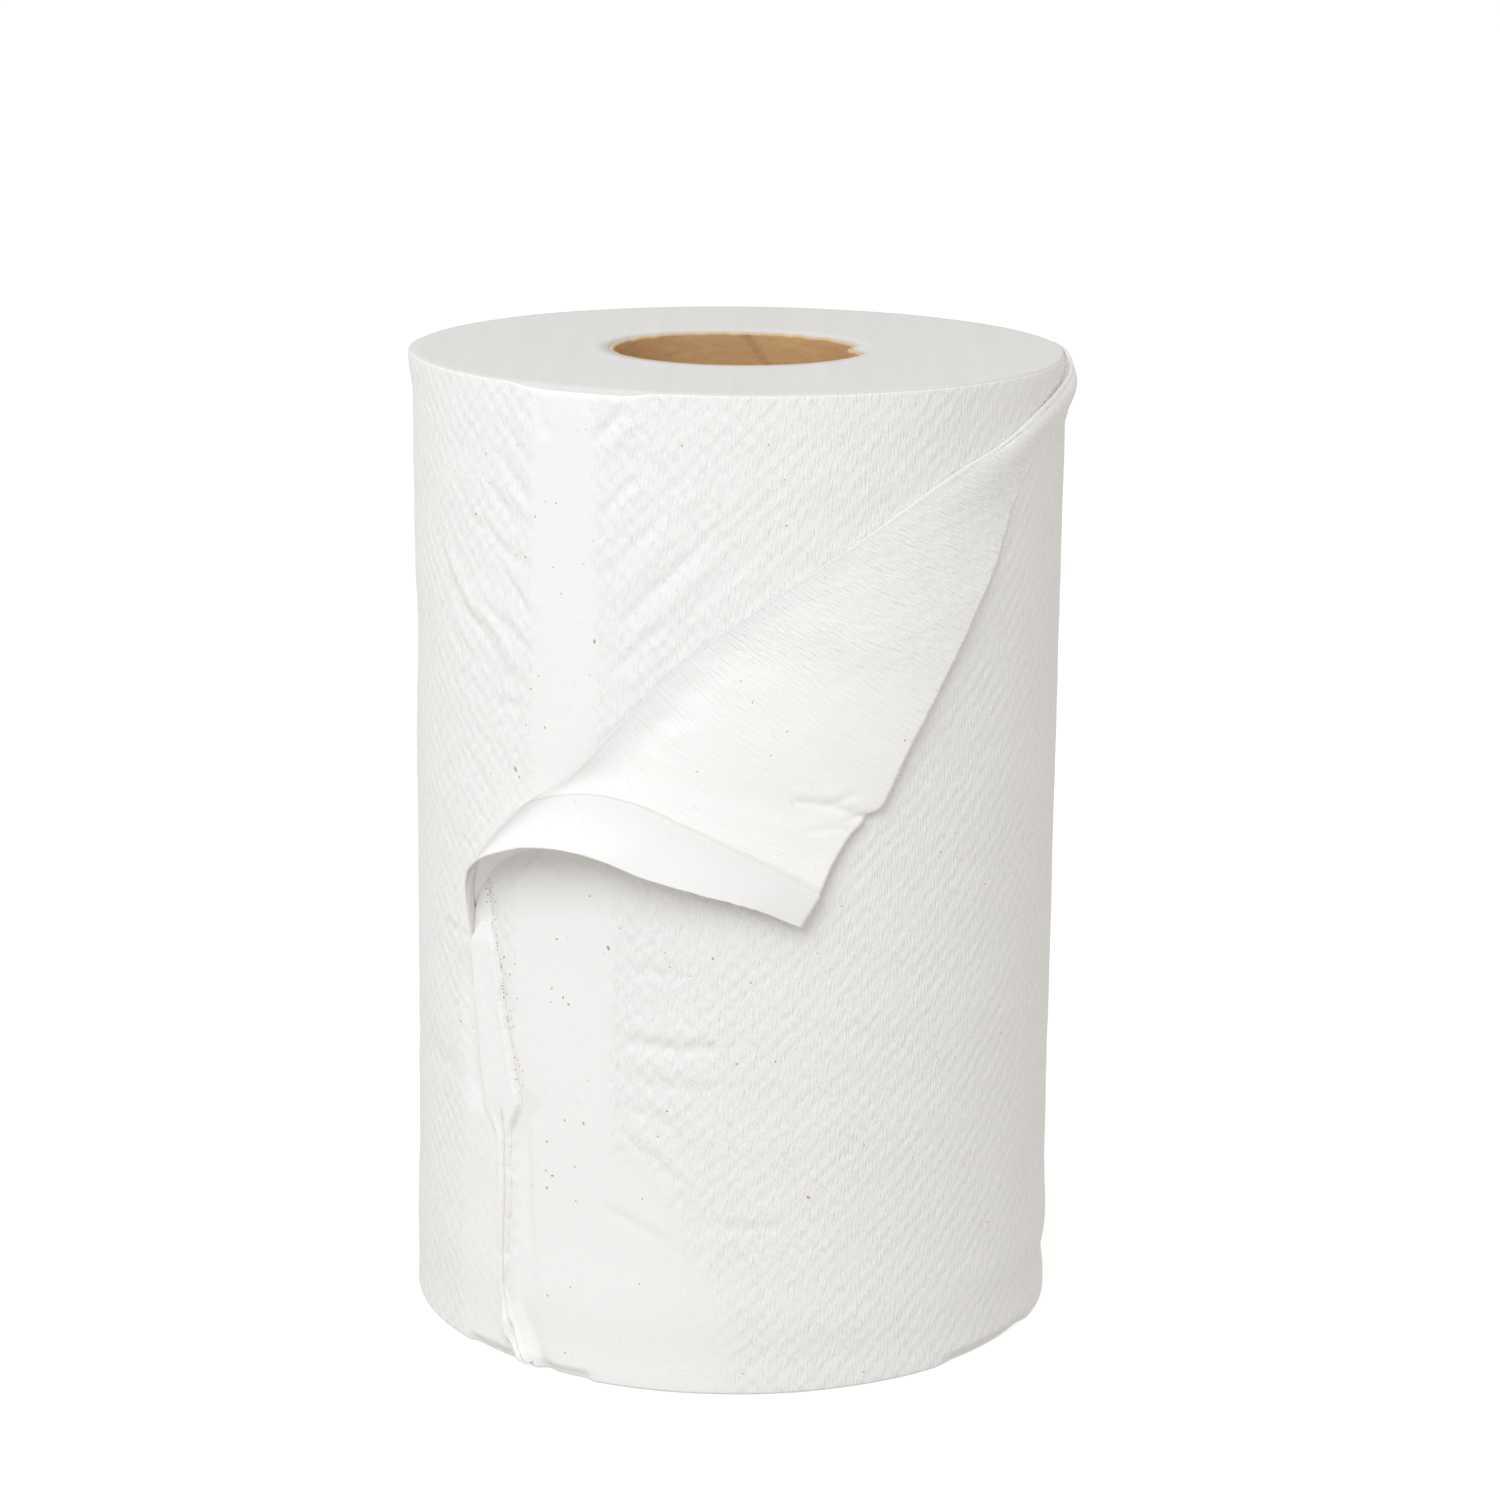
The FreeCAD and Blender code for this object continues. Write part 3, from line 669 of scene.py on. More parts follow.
def side_relief(angle, up):
    """How far the side lies out from the nominal radius at an angle and a height, in millimetres."""
    size = sizes()
    around = np.radians(angle) * size.roll_radius / MM
    turn = size.turn_thickness / MM
    along = (angle - TAIL_ANGLE) % 360.0
    layer = np.where(along > 180, -0.5 * turn * (1 - np.cos(np.radians(along - 180))), 0.0)
    tail = np.radians(TAIL_ANGLE) * size.roll_radius / MM
    inside = eased(around - hem_edge(HEM_LEFT, up) - 1.2 + 0.5)
    below = up < HEM_TOP
    covered = inside * (around < tail) * below
    uncovered = (1 - inside) * (around >= tail) * (around < tail + 12) * below
    layer = layer + turn * covered - turn * uncovered
    layer = layer - turn * under_the_peel(angle, up) * (layer > -0.5 * turn)
    relief = layer + creased(around, up, LEFT_CREASES, RIGHT_CREASES, LOWER_CREASES)
    loose = 1 - 0.75 * pressed_on_side(around, up)
    relief += loose * rippled(around, up, (0.09, 27, 1), (0.045, 9, 2))
    beside = right_of_hem(around, up)
    relief -= 0.45 * bell(beside, 0.9, 0.7) * eased((up - 50) / 8) * eased((104 - up) / 6)
    relief -= 0.75 * bell(beside, 3.0, 2.0) * eased((60 - up) / 8)
    relief += 0.9 * bell(around, -104, 16) * eased((up - 191) / 7)
    relief += 0.3 * bell(around, -100, 30) * eased((90 - up) / 60)
    for height, place, reach, level, span in SWELLINGS:
        relief += height * bell(around, place, reach) * bell(up, level, span)
    raised_foot = sum(within(angle, *span) for span in RAISED_FOOT)
    relief -= np.clip(raised_foot, 0, 1) * eased((1.7 - up) / 0.4)
    return relief


def bore_pinch(angle, up):
    """How far the bore's wall is pushed in at an angle, most at the top rim, in millimetres."""
    back = within(angle % 360, 88, 200, 30.0) * 1.5
    corner = 2.6 * bell(angle % 360, 88, 9.0)
    fade = eased((up - (sizes().roll_height / MM - 55)) / 55)
    return (back + corner) * fade ** 2


class TOWELROLL_OT_turns(bpy.types.Operator):
    """Make the wound turns: the creased side, both cut ends and the wall round the core"""

    bl_idname = "towel_roll.turns"
    bl_label = "Wound Turns"

    def execute(self, context):
        size = sizes()
        tall, wide, core = size.roll_height / MM, size.roll_radius / MM, size.core_radius / MM
        angle = np.concatenate([np.linspace(a, b, n, endpoint=False) for a, b, n in TURN_COLUMNS])
        turn = np.radians(angle)
        around = turn * wide
        low_rim = size.rim_rounding / MM
        top_rim = low_rim + 1.5 * within(around, -45, -19, 9.0)
        up = low_rim + (tall - top_rim - low_rim) * np.linspace(0, 1, SIDE_ROWS)[:, None]
        radius = wide + side_relief(np.broadcast_to(angle, up.shape), up)
        heights, radii = list(up), list(radius)
        swings = math.pi / 2 * np.arange(RIM_ROWS + 1) / RIM_ROWS
        for swing in swings[1:]:
            heights.append(tall - top_rim * (1 - math.sin(swing)))
            radii.append(radius[-1] - top_rim * (1 - math.cos(swing)))
        edge, inner = radii[-1], core - bore_pinch(angle, tall)
        for share in np.arange(1, FACE_ROWS + 1) / FACE_ROWS:
            ring = edge + (inner - edge) * share
            dip = 0.10 + 0.09 * ripples(ring * np.sin(turn), ring * np.cos(turn), 34, 5)
            heights.append(tall - np.clip(dip, 0, None) * math.sin(math.pi * share))
            radii.append(ring)
        for height in tall * (1 - np.arange(1, BORE_ROWS + 1) / BORE_ROWS):
            heights.append(np.full_like(angle, height))
            radii.append(core - bore_pinch(angle, height))
        foot = radius[0] - low_rim
        for share in np.arange(1, FACE_ROWS) / FACE_ROWS:
            heights.append(np.zeros_like(angle))
            radii.append(core + (foot - core) * share)
        for swing in swings[:-1]:
            heights.append(np.full_like(angle, low_rim * (1 - math.cos(swing))))
            radii.append(foot + low_rim * math.sin(swing))
        heights, radii = np.array(heights), np.array(radii)
        rows, columns = heights.shape
        faces = quads(rows, columns, True)
        wrapped_up = np.pad(heights, ((0, 1), (0, 1)), mode="wrap")
        wrapped_around = np.broadcast_to(np.append(around, around[0] + 2 * math.pi * wide), wrapped_up.shape)
        row_of_face = np.arange(len(faces)) // columns
        side = (row_of_face < SIDE_ROWS + 1) | (row_of_face >= rows - RIM_ROWS)
        places = np.broadcast_to(around, heights.shape)
        # Distance right of the hem, kept near it only: the material grooves the bump and paints shade along it.
        to_hem = right_of_hem(places, heights) - 0.5
        to_hem = np.where((heights > 50) & (heights < 103) & (to_hem > -1.5), to_hem, FAR_FROM_HEM)
        piece = new_piece("towel_turns", round_axis(angle, radii, heights), faces,
                          [towel_material(), cut_end_material()], grid_uv(wrapped_around * MM, wrapped_up * MM),
                          np.where(side, 0, 1), {"pressed": pressed_on_side(places, heights), "to_hem": to_hem})
        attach(piece, "root")
        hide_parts("paper_roll")
        return {"FINISHED"}


def fold_line(index):
    """The sheet across the fold at one line: up to the crest, round it, and over the bulge down to the free edge."""
    crest, bulge, leave, edge = FOLD_LINES[index]
    before = FOLD_LINES[max(index - 1, 0)][0]
    after = FOLD_LINES[min(index + 1, len(FOLD_LINES) - 1)][0]
    degree = math.radians(1) * sizes().roll_radius / MM
    heading = np.array([(after[0] - before[0]) * degree, after[1] - before[1]])
    heading /= np.linalg.norm(heading)
    outward = np.array([heading[1] / degree, -heading[0], 0.0])
    if outward[1] < 0:
        outward = -outward
    swing = np.linspace(-math.pi / 2, math.pi / 2, CREST_STEPS + 1)
    turn = np.array(crest) + outward * (np.cos(swing) - 1)[:, None] * CREST_RADIUS
    turn[:, 2] += CREST_RADIUS * np.sin(swing)
    root = np.array([crest[0] + leave[0], crest[1] - leave[1], ROOT_LIFT])
    share = eased(np.arange(RISE_STEPS) / RISE_STEPS)[:, None]
    rise = root + (turn[0] - root) * share
    t = ((np.arange(1, FALL_STEPS + 1) / FALL_STEPS) ** 1.35)[:, None]
    fall = turn[-1] + (np.array(edge) - turn[-1]) * t
    length = math.hypot((edge[0] - crest[0]) * degree, edge[1] - crest[1])
    top = crest[2] + CREST_RADIUS
    lift = top + (bulge - top) * (1 - np.exp(-t[:, 0] * length / BULGE_REACH))
    blend = eased(t[:, 0]) ** 1.2
    fall[:, 2] = lift * (1 - blend) + edge[2] * blend
    return np.vstack([rise, turn, fall])


def hem_line(rise, fall):
    """The sheet along the hem or the tail edge: up to the crest, and over it down to the corner."""
    crest = CREST_STEPS // 2
    first = even_path(rise, RISE_STEPS + crest)
    second = even_path(fall, FALL_STEPS + CREST_STEPS - crest)
    return np.vstack([first, second[1:]])


def corner_lines():
    """The folded corner's lines of points from its tight end to the tail edge, in metres."""
    lines = [fold_line(index) for index in range(len(FOLD_LINES))]
    lines += [hem_line(HEM_RISE, HEM_FALL), hem_line(TAIL_RISE, TAIL_FALL)]
    return on_roll(*np.moveaxis(np.array(lines), -1, 0))


def grid_normals(grid):
    """The direction square to a grid of points, away from the roll at the free edge."""
    normal = np.cross(np.gradient(grid, axis=0), np.gradient(grid, axis=1))
    normal /= np.linalg.norm(normal, axis=-1, keepdims=True)
    corner = grid[0, -1] * (1, 1, 0)
    return normal if normal[0, -1] @ corner > 0 else -normal


def sheet_piece(name, outer, inner, material, uv, attributes):
    """A closed thin sheet between two grids of points, with strips round its rim."""
    rows, columns = outer.shape[:2]
    count = rows * columns
    skin = quads(rows, columns)
    number = np.arange(count).reshape(rows, columns)
    rim = np.concatenate([number[0, :-1], number[:-1, -1], number[-1, :0:-1], number[:0:-1, 0]])
    after = np.roll(rim, -1)
    strips = np.stack([rim, rim + count, after + count, after], -1)
    faces = np.concatenate([skin, skin[:, ::-1] + count, strips])
    points = np.concatenate([outer.reshape(-1, 3), inner.reshape(-1, 3)])
    corner_uv = uv.reshape(-1, 2)[faces % count]
    a, b, c, d = (points[faces[:, k]] for k in range(4))
    volume = (np.einsum("ij,ij->i", a, np.cross(b, c)) + np.einsum("ij,ij->i", a, np.cross(c, d))).sum()
    if volume < 0:
        faces, corner_uv = faces[:, ::-1], corner_uv[:, ::-1]
    both_sides = {title: np.tile(values.ravel(), 2) for title, values in attributes.items()}
    return new_piece(name, points, faces, [material], corner_uv, None, both_sides)


class TOWELROLL_OT_flap(bpy.types.Operator):
    """Make the folded corner of the sheet, with its curl, its hem line and its nicked edge"""

    bl_idname = "towel_roll.flap"
    bl_label = "Folded Corner"

    def execute(self, context):
        grid = smooth_path(corner_lines(), FOLD_STEPS)
        rows, columns = grid.shape[:2]
        around, up = place_on_side(grid)
        crest = RISE_STEPS + CREST_STEPS // 2
        column = np.arange(columns)[None, :]
        # Distance from the hem line across the corner: the material grooves and paints shade along the line, and
        # paints shade on the strip past it.
        to_hem = np.append(0, np.linalg.norm(np.diff(grid, axis=0), axis=-1)[:, crest + 40].cumsum()) / MM
        to_hem = np.broadcast_to((to_hem[rows - 1 - FOLD_STEPS[-1]] - to_hem)[:, None], grid.shape[:2])
        from_crest = np.linalg.norm(np.diff(grid, axis=1), axis=-1).cumsum(axis=1) / MM
        from_crest = np.pad(from_crest, ((0, 0), (1, 0)))
        from_crest = from_crest - from_crest[:, [crest]]
        loose = 1 - eased((to_hem - 40) / 70)
        # Painted shade along the fold's crest: how strongly the material darkens the sheet near it.
        at_fold = 0.75 * loose * bell(from_crest, 0, 5.0) + (0.8 - 0.4 * loose) * bell(from_crest, 0, 0.7)
        strip = eased((2 - to_hem) / 4)
        free = eased((column - crest - 4) / 14.0)
        last = eased((column - (columns - 8)) / 7.0)
        relief = free * creased(around, up, FLAP_CREASES)
        relief += free * rippled(around, up, (0.16, 30, 7), (0.06, 11, 8))
        relief += free * 0.10 * strip
        grid = grid + grid_normals(grid) * (relief * MM)[..., None]
        ragged = rippled(around, up, (0.09, 7, 9), (0.06, 2.6, 10), (0.06, 1.0, 13))
        nick = -1.2 * bell(up, 118.0, 0.9) * (around > 15)
        outward = (ragged + nick + strip) * last * MM
        grid = grid + np.stack([outward, np.zeros_like(outward), -0.35 * outward], -1)
        grid[-1, :, 2] += free[0] * rippled(around[-1], up[-1], (0.10, 5, 11), (0.05, 1.8, 12)) * MM
        normal = grid_normals(grid)
        half = sizes().flap_thickness / 2
        fold = np.stack([around[:, crest], up[:, crest]], -1)
        heading = np.array([math.cos(math.radians(FOLD_DIRECTION)), math.sin(math.radians(FOLD_DIRECTION))])
        offset = np.stack([around, up], -1) - fold[:, None, :]
        forward = (offset @ heading)[..., None] * heading
        uv = (fold[:, None, :] + np.where((column > crest)[..., None], 2 * forward - offset, offset)) * MM
        pressed = 0.85 * np.maximum(strip, eased((44 - to_hem) / 34))
        piece = sheet_piece("folded_corner", grid + normal * half, grid - normal * half, towel_material(True), uv,
                            {"pressed": pressed, "to_hem": to_hem, "at_fold": at_fold})
        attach(piece, "root")
        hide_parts("paper_roll")
        return {"FINISHED"}


class TOWELROLL_OT_hem(bpy.types.Operator):
    """Make the torn hem that is glued along the tail edge"""

    bl_idname = "towel_roll.hem"
    bl_label = "Torn Hem"

    def execute(self, context):
        size = sizes()
        up = np.linspace(HEM_LEFT[0][0], HEM_LEFT[-1][0], HEM_STEPS)
        edges = []
        for edge, *waves in ((HEM_LEFT, (0.10, 6, 21), (0.04, 1.9, 22)), (HEM_RIGHT, (0.18, 5, 23), (0.05, 1.7, 24))):
            smooth = np.convolve(np.pad(hem_edge(edge, up), 3, mode="edge"), np.ones(7) / 7, "valid")
            edges.append((smooth + rippled(up, up * 0, *waves))[:, None])
        first, second = edges
        share = np.linspace(0, 1, HEM_COLUMNS)[None, :]
        around = first + (second - first) * share
        level = np.broadcast_to(up[:, None], around.shape)
        low = eased((HEM_GATHERED - level) / 6)
        lift = np.interp(share, *WIDE_HEM) * (1 - low) + np.interp(share, *GATHERED_HEM) * low
        lift = size.hem_lift / MM * lift + rippled(around, level, (0.07, 6, 25, 2.5), (0.025, 2.2, 26, 1.6))
        crumple = eased((14 - level) / 6)
        lift = lift + crumple * (0.45 * ripples(around, level, 4.2, 27, 1.8) + 0.3)
        rise = eased((level - 86) / 6)
        lift = np.clip(lift * (1 - 0.8 * rise), 0.1, 2.2)
        degrees = np.degrees(around / (size.roll_radius / MM))
        # Distance from the groove in the gathered part: the material grooves the bump and paints shade along it.
        to_groove = np.where(level < HEM_GATHERED, (share - HEM_GROOVE) * (second - first), FAR_FROM_HEM)
        piece = sheet_piece("torn_hem", on_roll(degrees, level, lift), on_roll(degrees, level, -0.5),
                            towel_material(), np.stack([around, level], -1) * MM,
                            {"pressed": np.ones_like(around), "to_hem": to_groove})
        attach(piece, "root")
        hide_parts("paper_roll")
        return {"FINISHED"}


class TOWELROLL_OT_core(bpy.types.Operator):
    """Make the cardboard core with its spiral seam, pinched rim and torn nick"""

    bl_idname = "towel_roll.core"
    bl_label = "Cardboard Core"

    def execute(self, context):
        size = sizes()
        tall, outer, inner = size.roll_height / MM, size.core_radius / MM, size.bore_radius / MM
        angle = np.linspace(-180, 180, CORE_COLUMNS, endpoint=False)
        rim_drop = 0.22 + 0.12 * ripples(angle * 0.5, angle * 0, 5, 31) + 0.5 * bell(angle, 70, 3.0)
        rim_top = tall - np.clip(rim_drop, 0, None)
        middle, thick = (outer + inner) / 2, (outer - inner) / 2
        pitch = 2 * math.pi * inner * math.tan(math.radians(SEAM_ANGLE))
        shares = np.arange(CORE_ROWS + 1) / CORE_ROWS
        swings = math.pi * np.arange(1, 2 * CORE_RIM_ROWS) / (2 * CORE_RIM_ROWS)
        none, full = np.zeros_like(angle), np.ones_like(angle)
        rows = []
        for height in (thick + (rim_top - 2 * thick) * share for share in shares):
            rows.append((height, outer - bore_pinch(angle, height), none, none))
        for swing in swings:
            rows.append((rim_top - thick * (1 - math.sin(swing)),
                         middle + thick * math.cos(swing) - bore_pinch(angle, tall), none, full))
        for height in (thick + (rim_top - 2 * thick) * share for share in 1 - shares):
            shift = (height - (tall - 4.0) - pitch * (angle - 171) / 360 + pitch / 2) % pitch - pitch / 2
            seam = bell(shift, 0, 1.3)
            worn = 0.8 * eased((height - (tall - 0.9)) / 0.5)
            rows.append((height, inner - bore_pinch(angle, height) + 0.10 * seam, seam, worn))
        for swing in swings:
            rows.append((full * thick * (1 - math.sin(swing)), full * (middle - thick * math.cos(swing)), none,
                         full))
        heights, radii, seam, worn = np.moveaxis(np.array(rows), 1, 0)
        piece = new_piece("core_tube", round_axis(angle, radii, heights), quads(*heights.shape, True),
                          [kraft_material()], None, None, {"seam": seam, "worn": worn})
        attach(piece, "root")
        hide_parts("core")
        return {"FINISHED"}


def with_value(tree, points, name, value, kind):
    """Geometry whose points keep a value under a name."""
    inputs = {"Geometry": points, "Name": name, "Value": value}
    return new_node(tree, "GeometryNodeStoreNamedAttribute", inputs, data_type=kind, domain="POINT").outputs[0]


def kept_value(tree, name, kind):
    """The value that points keep under a name."""
    return new_node(tree, "GeometryNodeInputNamedAttribute", {"Name": name}, data_type=kind).outputs["Attribute"]


def joined(tree, *parts):
    """Several geometries as one."""
    node = new_node(tree, "GeometryNodeJoinGeometry")
    for part in parts:
        tree.links.new(part, node.inputs[0])
    return node.outputs[0]


def fleck_tree(material):
    """A node tree that lands given flecks on the paper, scatters small ones and makes them all real."""
    tree = bpy.data.node_groups.new("Paper Flecks", "GeometryNodeTree")
    for title, kind in FLECK_INPUTS:
        tree.interface.new_socket(title, in_out="INPUT", socket_type="NodeSocket" + kind)
    tree.interface.new_socket("Geometry", in_out="OUTPUT", socket_type="NodeSocketGeometry")
    given = new_node(tree, "NodeGroupInput").outputs
    sources = [new_node(tree, "GeometryNodeObjectInfo", {"Object": given[title]}, transform_space="RELATIVE")
               for title in ("Turns", "Folded Corner")]
    paper = joined(tree, *(source.outputs["Geometry"] for source in sources))
    place = new_node(tree, "GeometryNodeInputPosition").outputs[0]
    inward = new_node(tree, "ShaderNodeVectorMath", {0: place, 1: (-1.0, -1.0, 0.0)}, operation="MULTIPLY")
    landing = new_node(tree, "GeometryNodeRaycast", {
        "Target Geometry": paper, "Ray Direction": inward.outputs[0], "Ray Length": 0.05}).outputs
    marked = with_value(tree, given["Geometry"], "facing", landing["Hit Normal"], "FLOAT_VECTOR")
    landed = new_node(tree, "GeometryNodeSetPosition", {"Geometry": marked, "Position": landing["Hit Position"]})
    scatter = new_node(tree, "GeometryNodeDistributePointsOnFaces", {
        "Mesh": paper, "Density": given["Density"], "Seed": given["Seed"]}, distribute_method="RANDOM").outputs
    chance = new_node(tree, "FunctionNodeRandomValue", {"Seed": given["Seed"]}, data_type="FLOAT").outputs[1]
    spread = new_node(tree, "ShaderNodeMapRange", {
        "Value": worked(tree, "POWER", chance, 3.0), "To Min": given["Smallest"], "To Max": given["Largest"]})
    small = with_value(tree, scatter["Points"], "width", spread.outputs[0], "FLOAT")
    small = with_value(tree, small, "facing", scatter["Normal"], "FLOAT_VECTOR")
    facing = kept_value(tree, "facing", "FLOAT_VECTOR")
    upright = new_node(tree, "FunctionNodeAlignRotationToVector", {"Vector": facing}, axis="Z").outputs[0]
    spin = new_node(tree, "FunctionNodeRandomValue", {3: 2 * math.pi, "Seed": given["Seed"]}, data_type="FLOAT")
    twist = new_node(tree, "ShaderNodeCombineXYZ", {"Z": spin.outputs[1]}).outputs[0]
    twisted = new_node(tree, "FunctionNodeRotateRotation", {"Rotation": upright, "Rotate By": twist},
                       rotation_space="LOCAL")
    ball = new_node(tree, "GeometryNodeMeshIcoSphere", {"Radius": 0.5, "Subdivisions": 2}).outputs["Mesh"]
    longer = new_node(tree, "FunctionNodeRandomValue", {2: 0.8, 3: 1.5}, data_type="FLOAT").outputs[1]
    shape = new_node(tree, "ShaderNodeCombineXYZ", {"X": longer, "Y": 0.8, "Z": given["Flatness"]}).outputs[0]
    sized = new_node(tree, "ShaderNodeVectorMath", {0: shape, "Scale": kept_value(tree, "width", "FLOAT")},
                     operation="SCALE")
    copies = new_node(tree, "GeometryNodeInstanceOnPoints", {
        "Points": joined(tree, landed.outputs["Geometry"], small), "Instance": ball,
        "Rotation": twisted.outputs[0], "Scale": sized.outputs[0]})
    real = new_node(tree, "GeometryNodeRealizeInstances", {0: copies.outputs[0]}).outputs[0]
    painted = new_node(tree, "GeometryNodeSetMaterial", {"Geometry": real, "Material": material})
    new_node(tree, "NodeGroupOutput", {0: painted.outputs[0]})
    return tree


class TOWELROLL_OT_flecks(bpy.types.Operator):
    """Scatter the dark flecks of recycled fibre over the paper"""

    bl_idname = "towel_roll.flecks"
    bl_label = "Fibre Flecks"

    def execute(self, context):
        size = sizes()
        turns = bpy.data.objects.get("towel_turns")
        corner = bpy.data.objects.get("folded_corner")
        if turns is None or corner is None:
            raise RuntimeError("The flecks lie on the wound turns and the folded corner: make those first.")
        around, up, width = np.array(FLECKS, float).T
        chance = np.random.default_rng(size.fleck_seed)
        dots_up = chance.uniform(54, 101, HEM_FLECKS)
        hem = hem_edge(HEM_RIGHT, dots_up, (97, -55.6), (103, -57.4))
        around = np.append(around, hem + chance.normal(0.5, 0.9, HEM_FLECKS))
        up = np.append(up, dots_up)
        width = np.append(width * 0.78, chance.uniform(0.2, 0.42, HEM_FLECKS))
        points = on_roll(np.degrees(around / (size.roll_radius / MM)), up, FLECK_START)
        mesh = bpy.data.meshes.new("fleck_places")
        mesh.from_pydata(points.tolist(), [], [])
        values = mesh.attributes.new("width", "FLOAT", "POINT")
        values.data.foreach_set("value", (width * MM).astype(np.float32))
        carrier = in_scene(mesh)
        tree = fleck_tree(fleck_material())
        modifier = carrier.modifiers.new("Paper Flecks", "NODES")
        modifier.node_group = tree
        values = {"Turns": turns, "Folded Corner": corner, "Density": size.fleck_density, "Smallest": 0.00012,
                  "Largest": 0.00042, "Flatness": 0.1, "Seed": size.fleck_seed}
        for socket in tree.interface.items_tree:
            if socket.in_out == "INPUT" and socket.name in values:
                modifier[socket.identifier] = values[socket.name]
        bpy.context.view_layer.update()
        evaluated = carrier.evaluated_get(bpy.context.evaluated_depsgraph_get())
        plain = bpy.data.meshes.new_from_object(evaluated)
        plain.name = "fibre_flecks"
        bpy.data.objects.remove(carrier)
        if not plain.polygons:
            raise RuntimeError("No fleck landed on the paper.")
        piece = in_scene(plain)
        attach(piece, "root")
        return {"FINISHED"}


def placed(data, right, above, back, place):
    """A new object of some data at a place, with the directions of its own axes."""
    item = in_scene(data)
    matrix = np.eye(4)
    matrix[:3] = np.stack([right, above, back, place], -1)
    item.matrix_world = Matrix(matrix.tolist())
    return item


def soft_light(name, azimuth, elevation, distance, width, power):
    """A large square light that faces the roll's middle."""
    data = bpy.data.lights.new(name, "AREA")
    data.shape = "SQUARE"
    data.size = width
    data.energy = power
    data.color = LIGHT_COLOUR
    turn, rise = math.radians(azimuth), math.radians(elevation)
    back = np.array([math.sin(turn) * math.cos(rise), -math.cos(turn) * math.cos(rise), math.sin(rise)])
    right = np.cross((0, 0, 1), back)
    right /= np.linalg.norm(right)
    middle = np.array([0, 0, sizes().roll_height / 2])
    placed(data, right, np.cross(back, right), back, middle + back * distance)


def stage_camera():
    """The camera at the photograph's place and angle."""
    yaw, pitch, roll = (math.radians(a) for a in (CAMERA_YAW, CAMERA_PITCH, CAMERA_ROLL))
    right = np.array([math.cos(yaw), math.sin(yaw), 0.0])
    ahead = np.array([-math.sin(yaw) * math.cos(pitch), math.cos(yaw) * math.cos(pitch), -math.sin(pitch)])
    down = np.cross(ahead, right)
    rolled_right = math.cos(roll) * right + math.sin(roll) * down
    rolled_down = -math.sin(roll) * right + math.cos(roll) * down
    data = bpy.data.cameras.new("photo_camera")
    data.sensor_width = SENSOR_WIDTH
    data.lens = CAMERA_LENS
    data.clip_start = 0.01
    data.clip_end = 100.0
    bpy.context.scene.camera = placed(data, rolled_right, -rolled_down, -ahead, CAMERA_PLACE)


def stage_world(strength):
    """A white sky that looks white and lights the roll at a strength, more from above than from below."""
    world = bpy.data.worlds.new("studio_white")
    bpy.context.scene.world = world
    world.use_nodes = True
    tree = world.node_tree
    lighting = tree.nodes["Background"]
    lighting.inputs["Color"].default_value = SKY_COLOUR
    direction = new_node(tree, "ShaderNodeTexCoord").outputs["Generated"]
    rise = new_node(tree, "ShaderNodeSeparateXYZ", {0: direction}).outputs["Z"]
    above = worked(tree, "MULTIPLY_ADD", rise, SKY_FROM_ABOVE, 1.0)
    tree.links.new(product(tree, above, strength), lighting.inputs["Strength"])
    backdrop = new_node(tree, "ShaderNodeBackground", {"Color": WHITE, "Strength": 1.0}).outputs[0]
    ray = new_node(tree, "ShaderNodeLightPath").outputs["Is Camera Ray"]
    chosen = new_node(tree, "ShaderNodeMixShader", {0: ray, 1: lighting.outputs[0], 2: backdrop}).outputs[0]
    tree.links.new(chosen, tree.nodes["World Output"].inputs["Surface"])


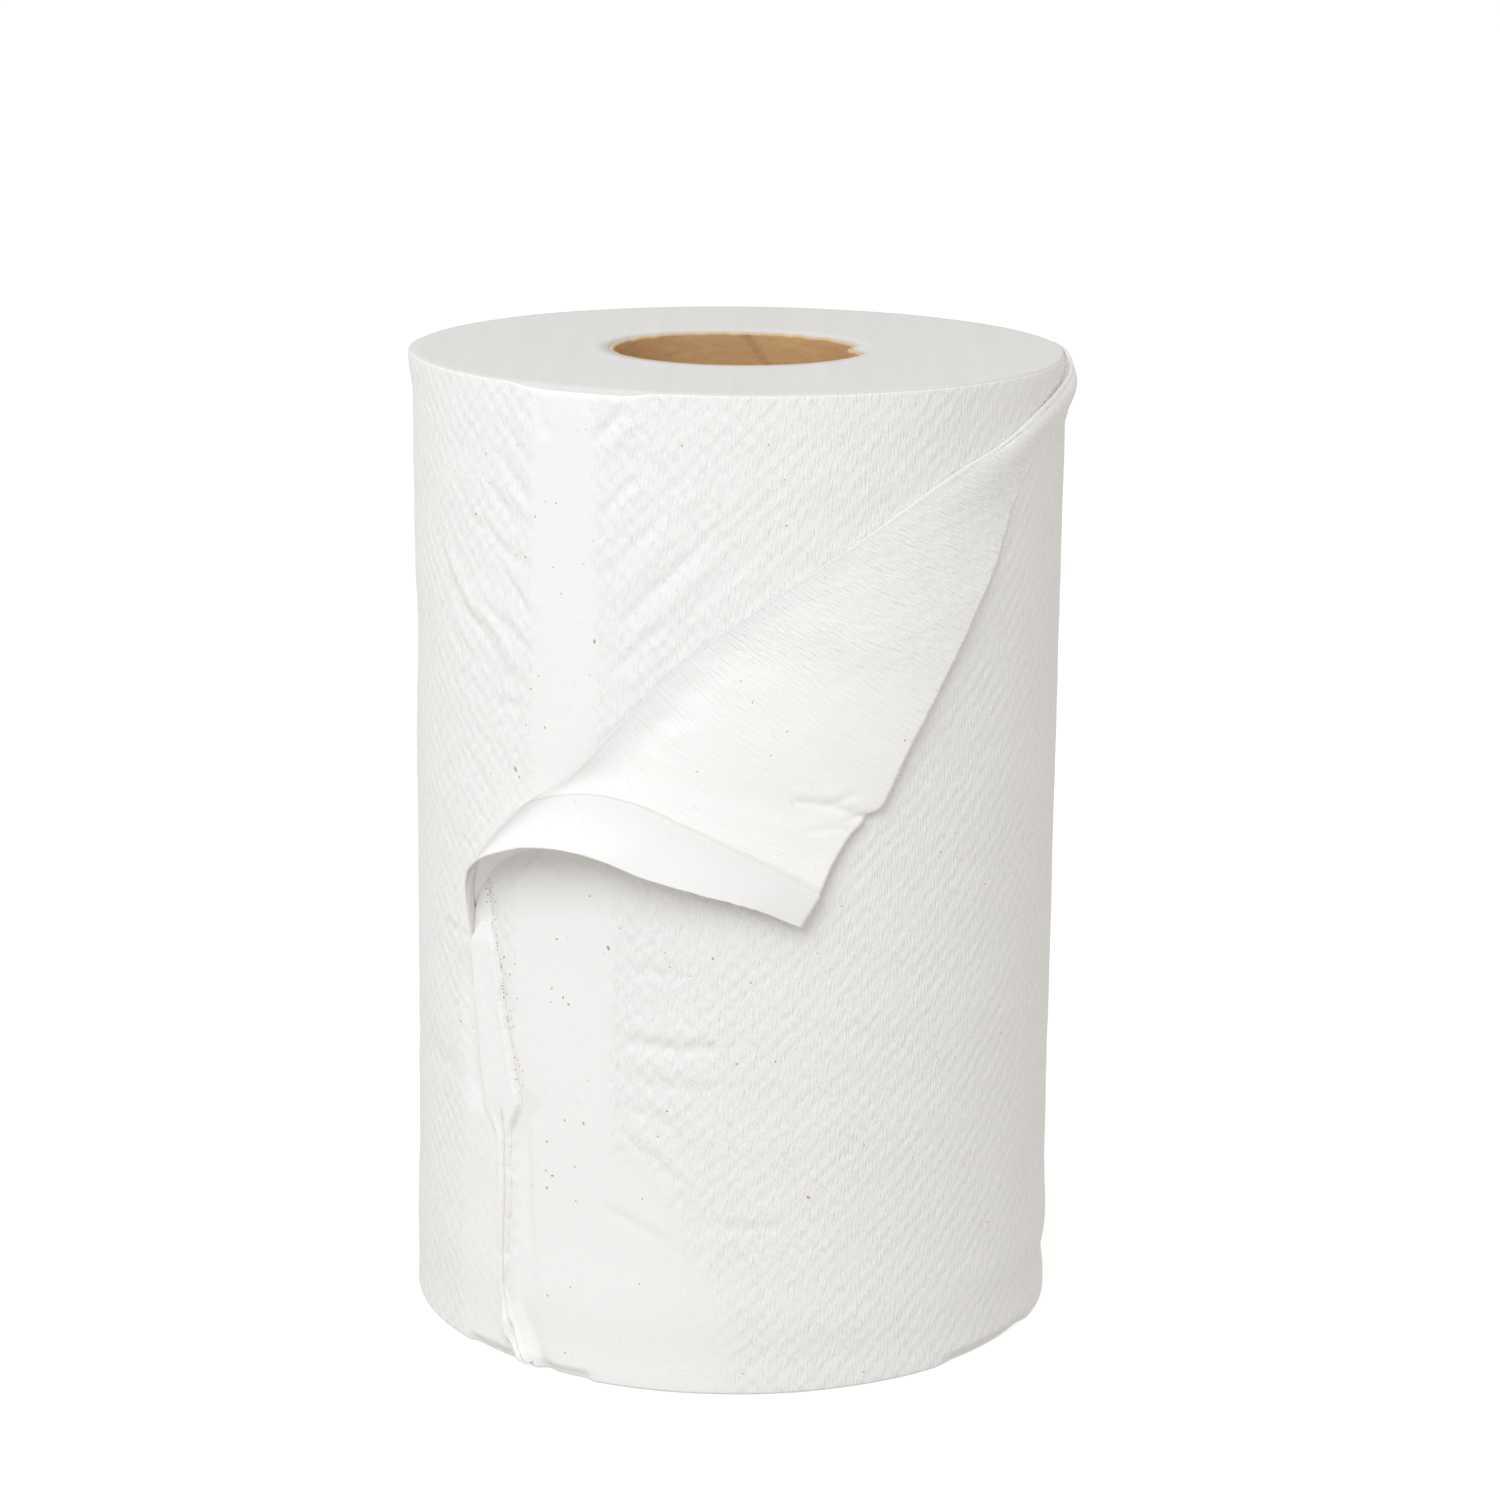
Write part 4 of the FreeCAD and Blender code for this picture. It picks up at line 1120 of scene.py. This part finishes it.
def stage_floor(colour):
    """A wide pale floor that glows a little, so that it runs into the white backdrop, and doesn't light the roll."""
    corners = np.array([(-1, -1, 0), (1, -1, 0), (1, 1, 0), (-1, 1, 0)], float)
    material, tree, shader = new_material("pale_floor", 0.9, 0.1)
    shader.inputs["Base Color"].default_value = tuple(colour) + (1.0,)
    shader.inputs["Emission Color"].default_value = WHITE
    shader.inputs["Emission Strength"].default_value = FLOOR_GLOW
    floor = new_piece("pale_floor", corners * FLOOR_REACH, np.array([[0, 1, 2, 3]]), [material])
    floor.visible_diffuse = False


class TOWELROLL_OT_stage(bpy.types.Operator):
    """Set the stage: pale floor, white sky, two soft lights and the camera"""

    bl_idname = "towel_roll.stage"
    bl_label = "Stage"

    def execute(self, context):
        stage = bpy.context.scene.towel_roll_stage
        stage_floor(stage.floor_colour)
        stage_world(stage.sky)
        soft_light("front_light", -20.0, 41.0, 1.6, 0.9, stage.key_power)
        soft_light("left_light", -100.0, 32.0, 0.7, 0.5, stage.side_power)
        stage_camera()
        context.scene.view_settings.view_transform = "Standard"
        return {"FINISHED"}


OPERATORS = (TOWELROLL_OT_turns, TOWELROLL_OT_flap, TOWELROLL_OT_hem, TOWELROLL_OT_core, TOWELROLL_OT_flecks,
             TOWELROLL_OT_stage)
GROUPS = {"towel_roll_sizes": TowelRollSizes, "towel_roll_looks": TowelRollLooks, "towel_roll_stage": TowelRollStage}


class TOWELROLL_PT_panel(bpy.types.Panel):
    """The towel roll's sizes, colours and pieces"""

    bl_idname = "TOWELROLL_PT_panel"
    bl_label = "Towel Roll"
    bl_space_type = "VIEW_3D"
    bl_region_type = "UI"
    bl_category = "Towel Roll"

    def draw(self, context):
        for title in GROUPS:
            group = getattr(context.scene, title)
            box = self.layout.box()
            for name in group.__annotations__:
                box.prop(group, name)
        for operator in OPERATORS:
            self.layout.operator(operator.bl_idname)


CLASSES = (*GROUPS.values(), *OPERATORS, TOWELROLL_PT_panel)


def register():
    for kind in CLASSES:
        bpy.utils.register_class(kind)
    for title, kind in GROUPS.items():
        setattr(bpy.types.Scene, title, bpy.props.PointerProperty(type=kind))


def unregister():
    for title in GROUPS:
        delattr(bpy.types.Scene, title)
    for kind in reversed(CLASSES):
        bpy.utils.unregister_class(kind)


def main():
    register()
    bpy.ops.towel_roll.turns()
    bpy.ops.towel_roll.flap()
    bpy.ops.towel_roll.hem()
    bpy.ops.towel_roll.core()
    bpy.ops.towel_roll.flecks()
    bpy.ops.towel_roll.stage()


if __name__ == "__main__":
    main()
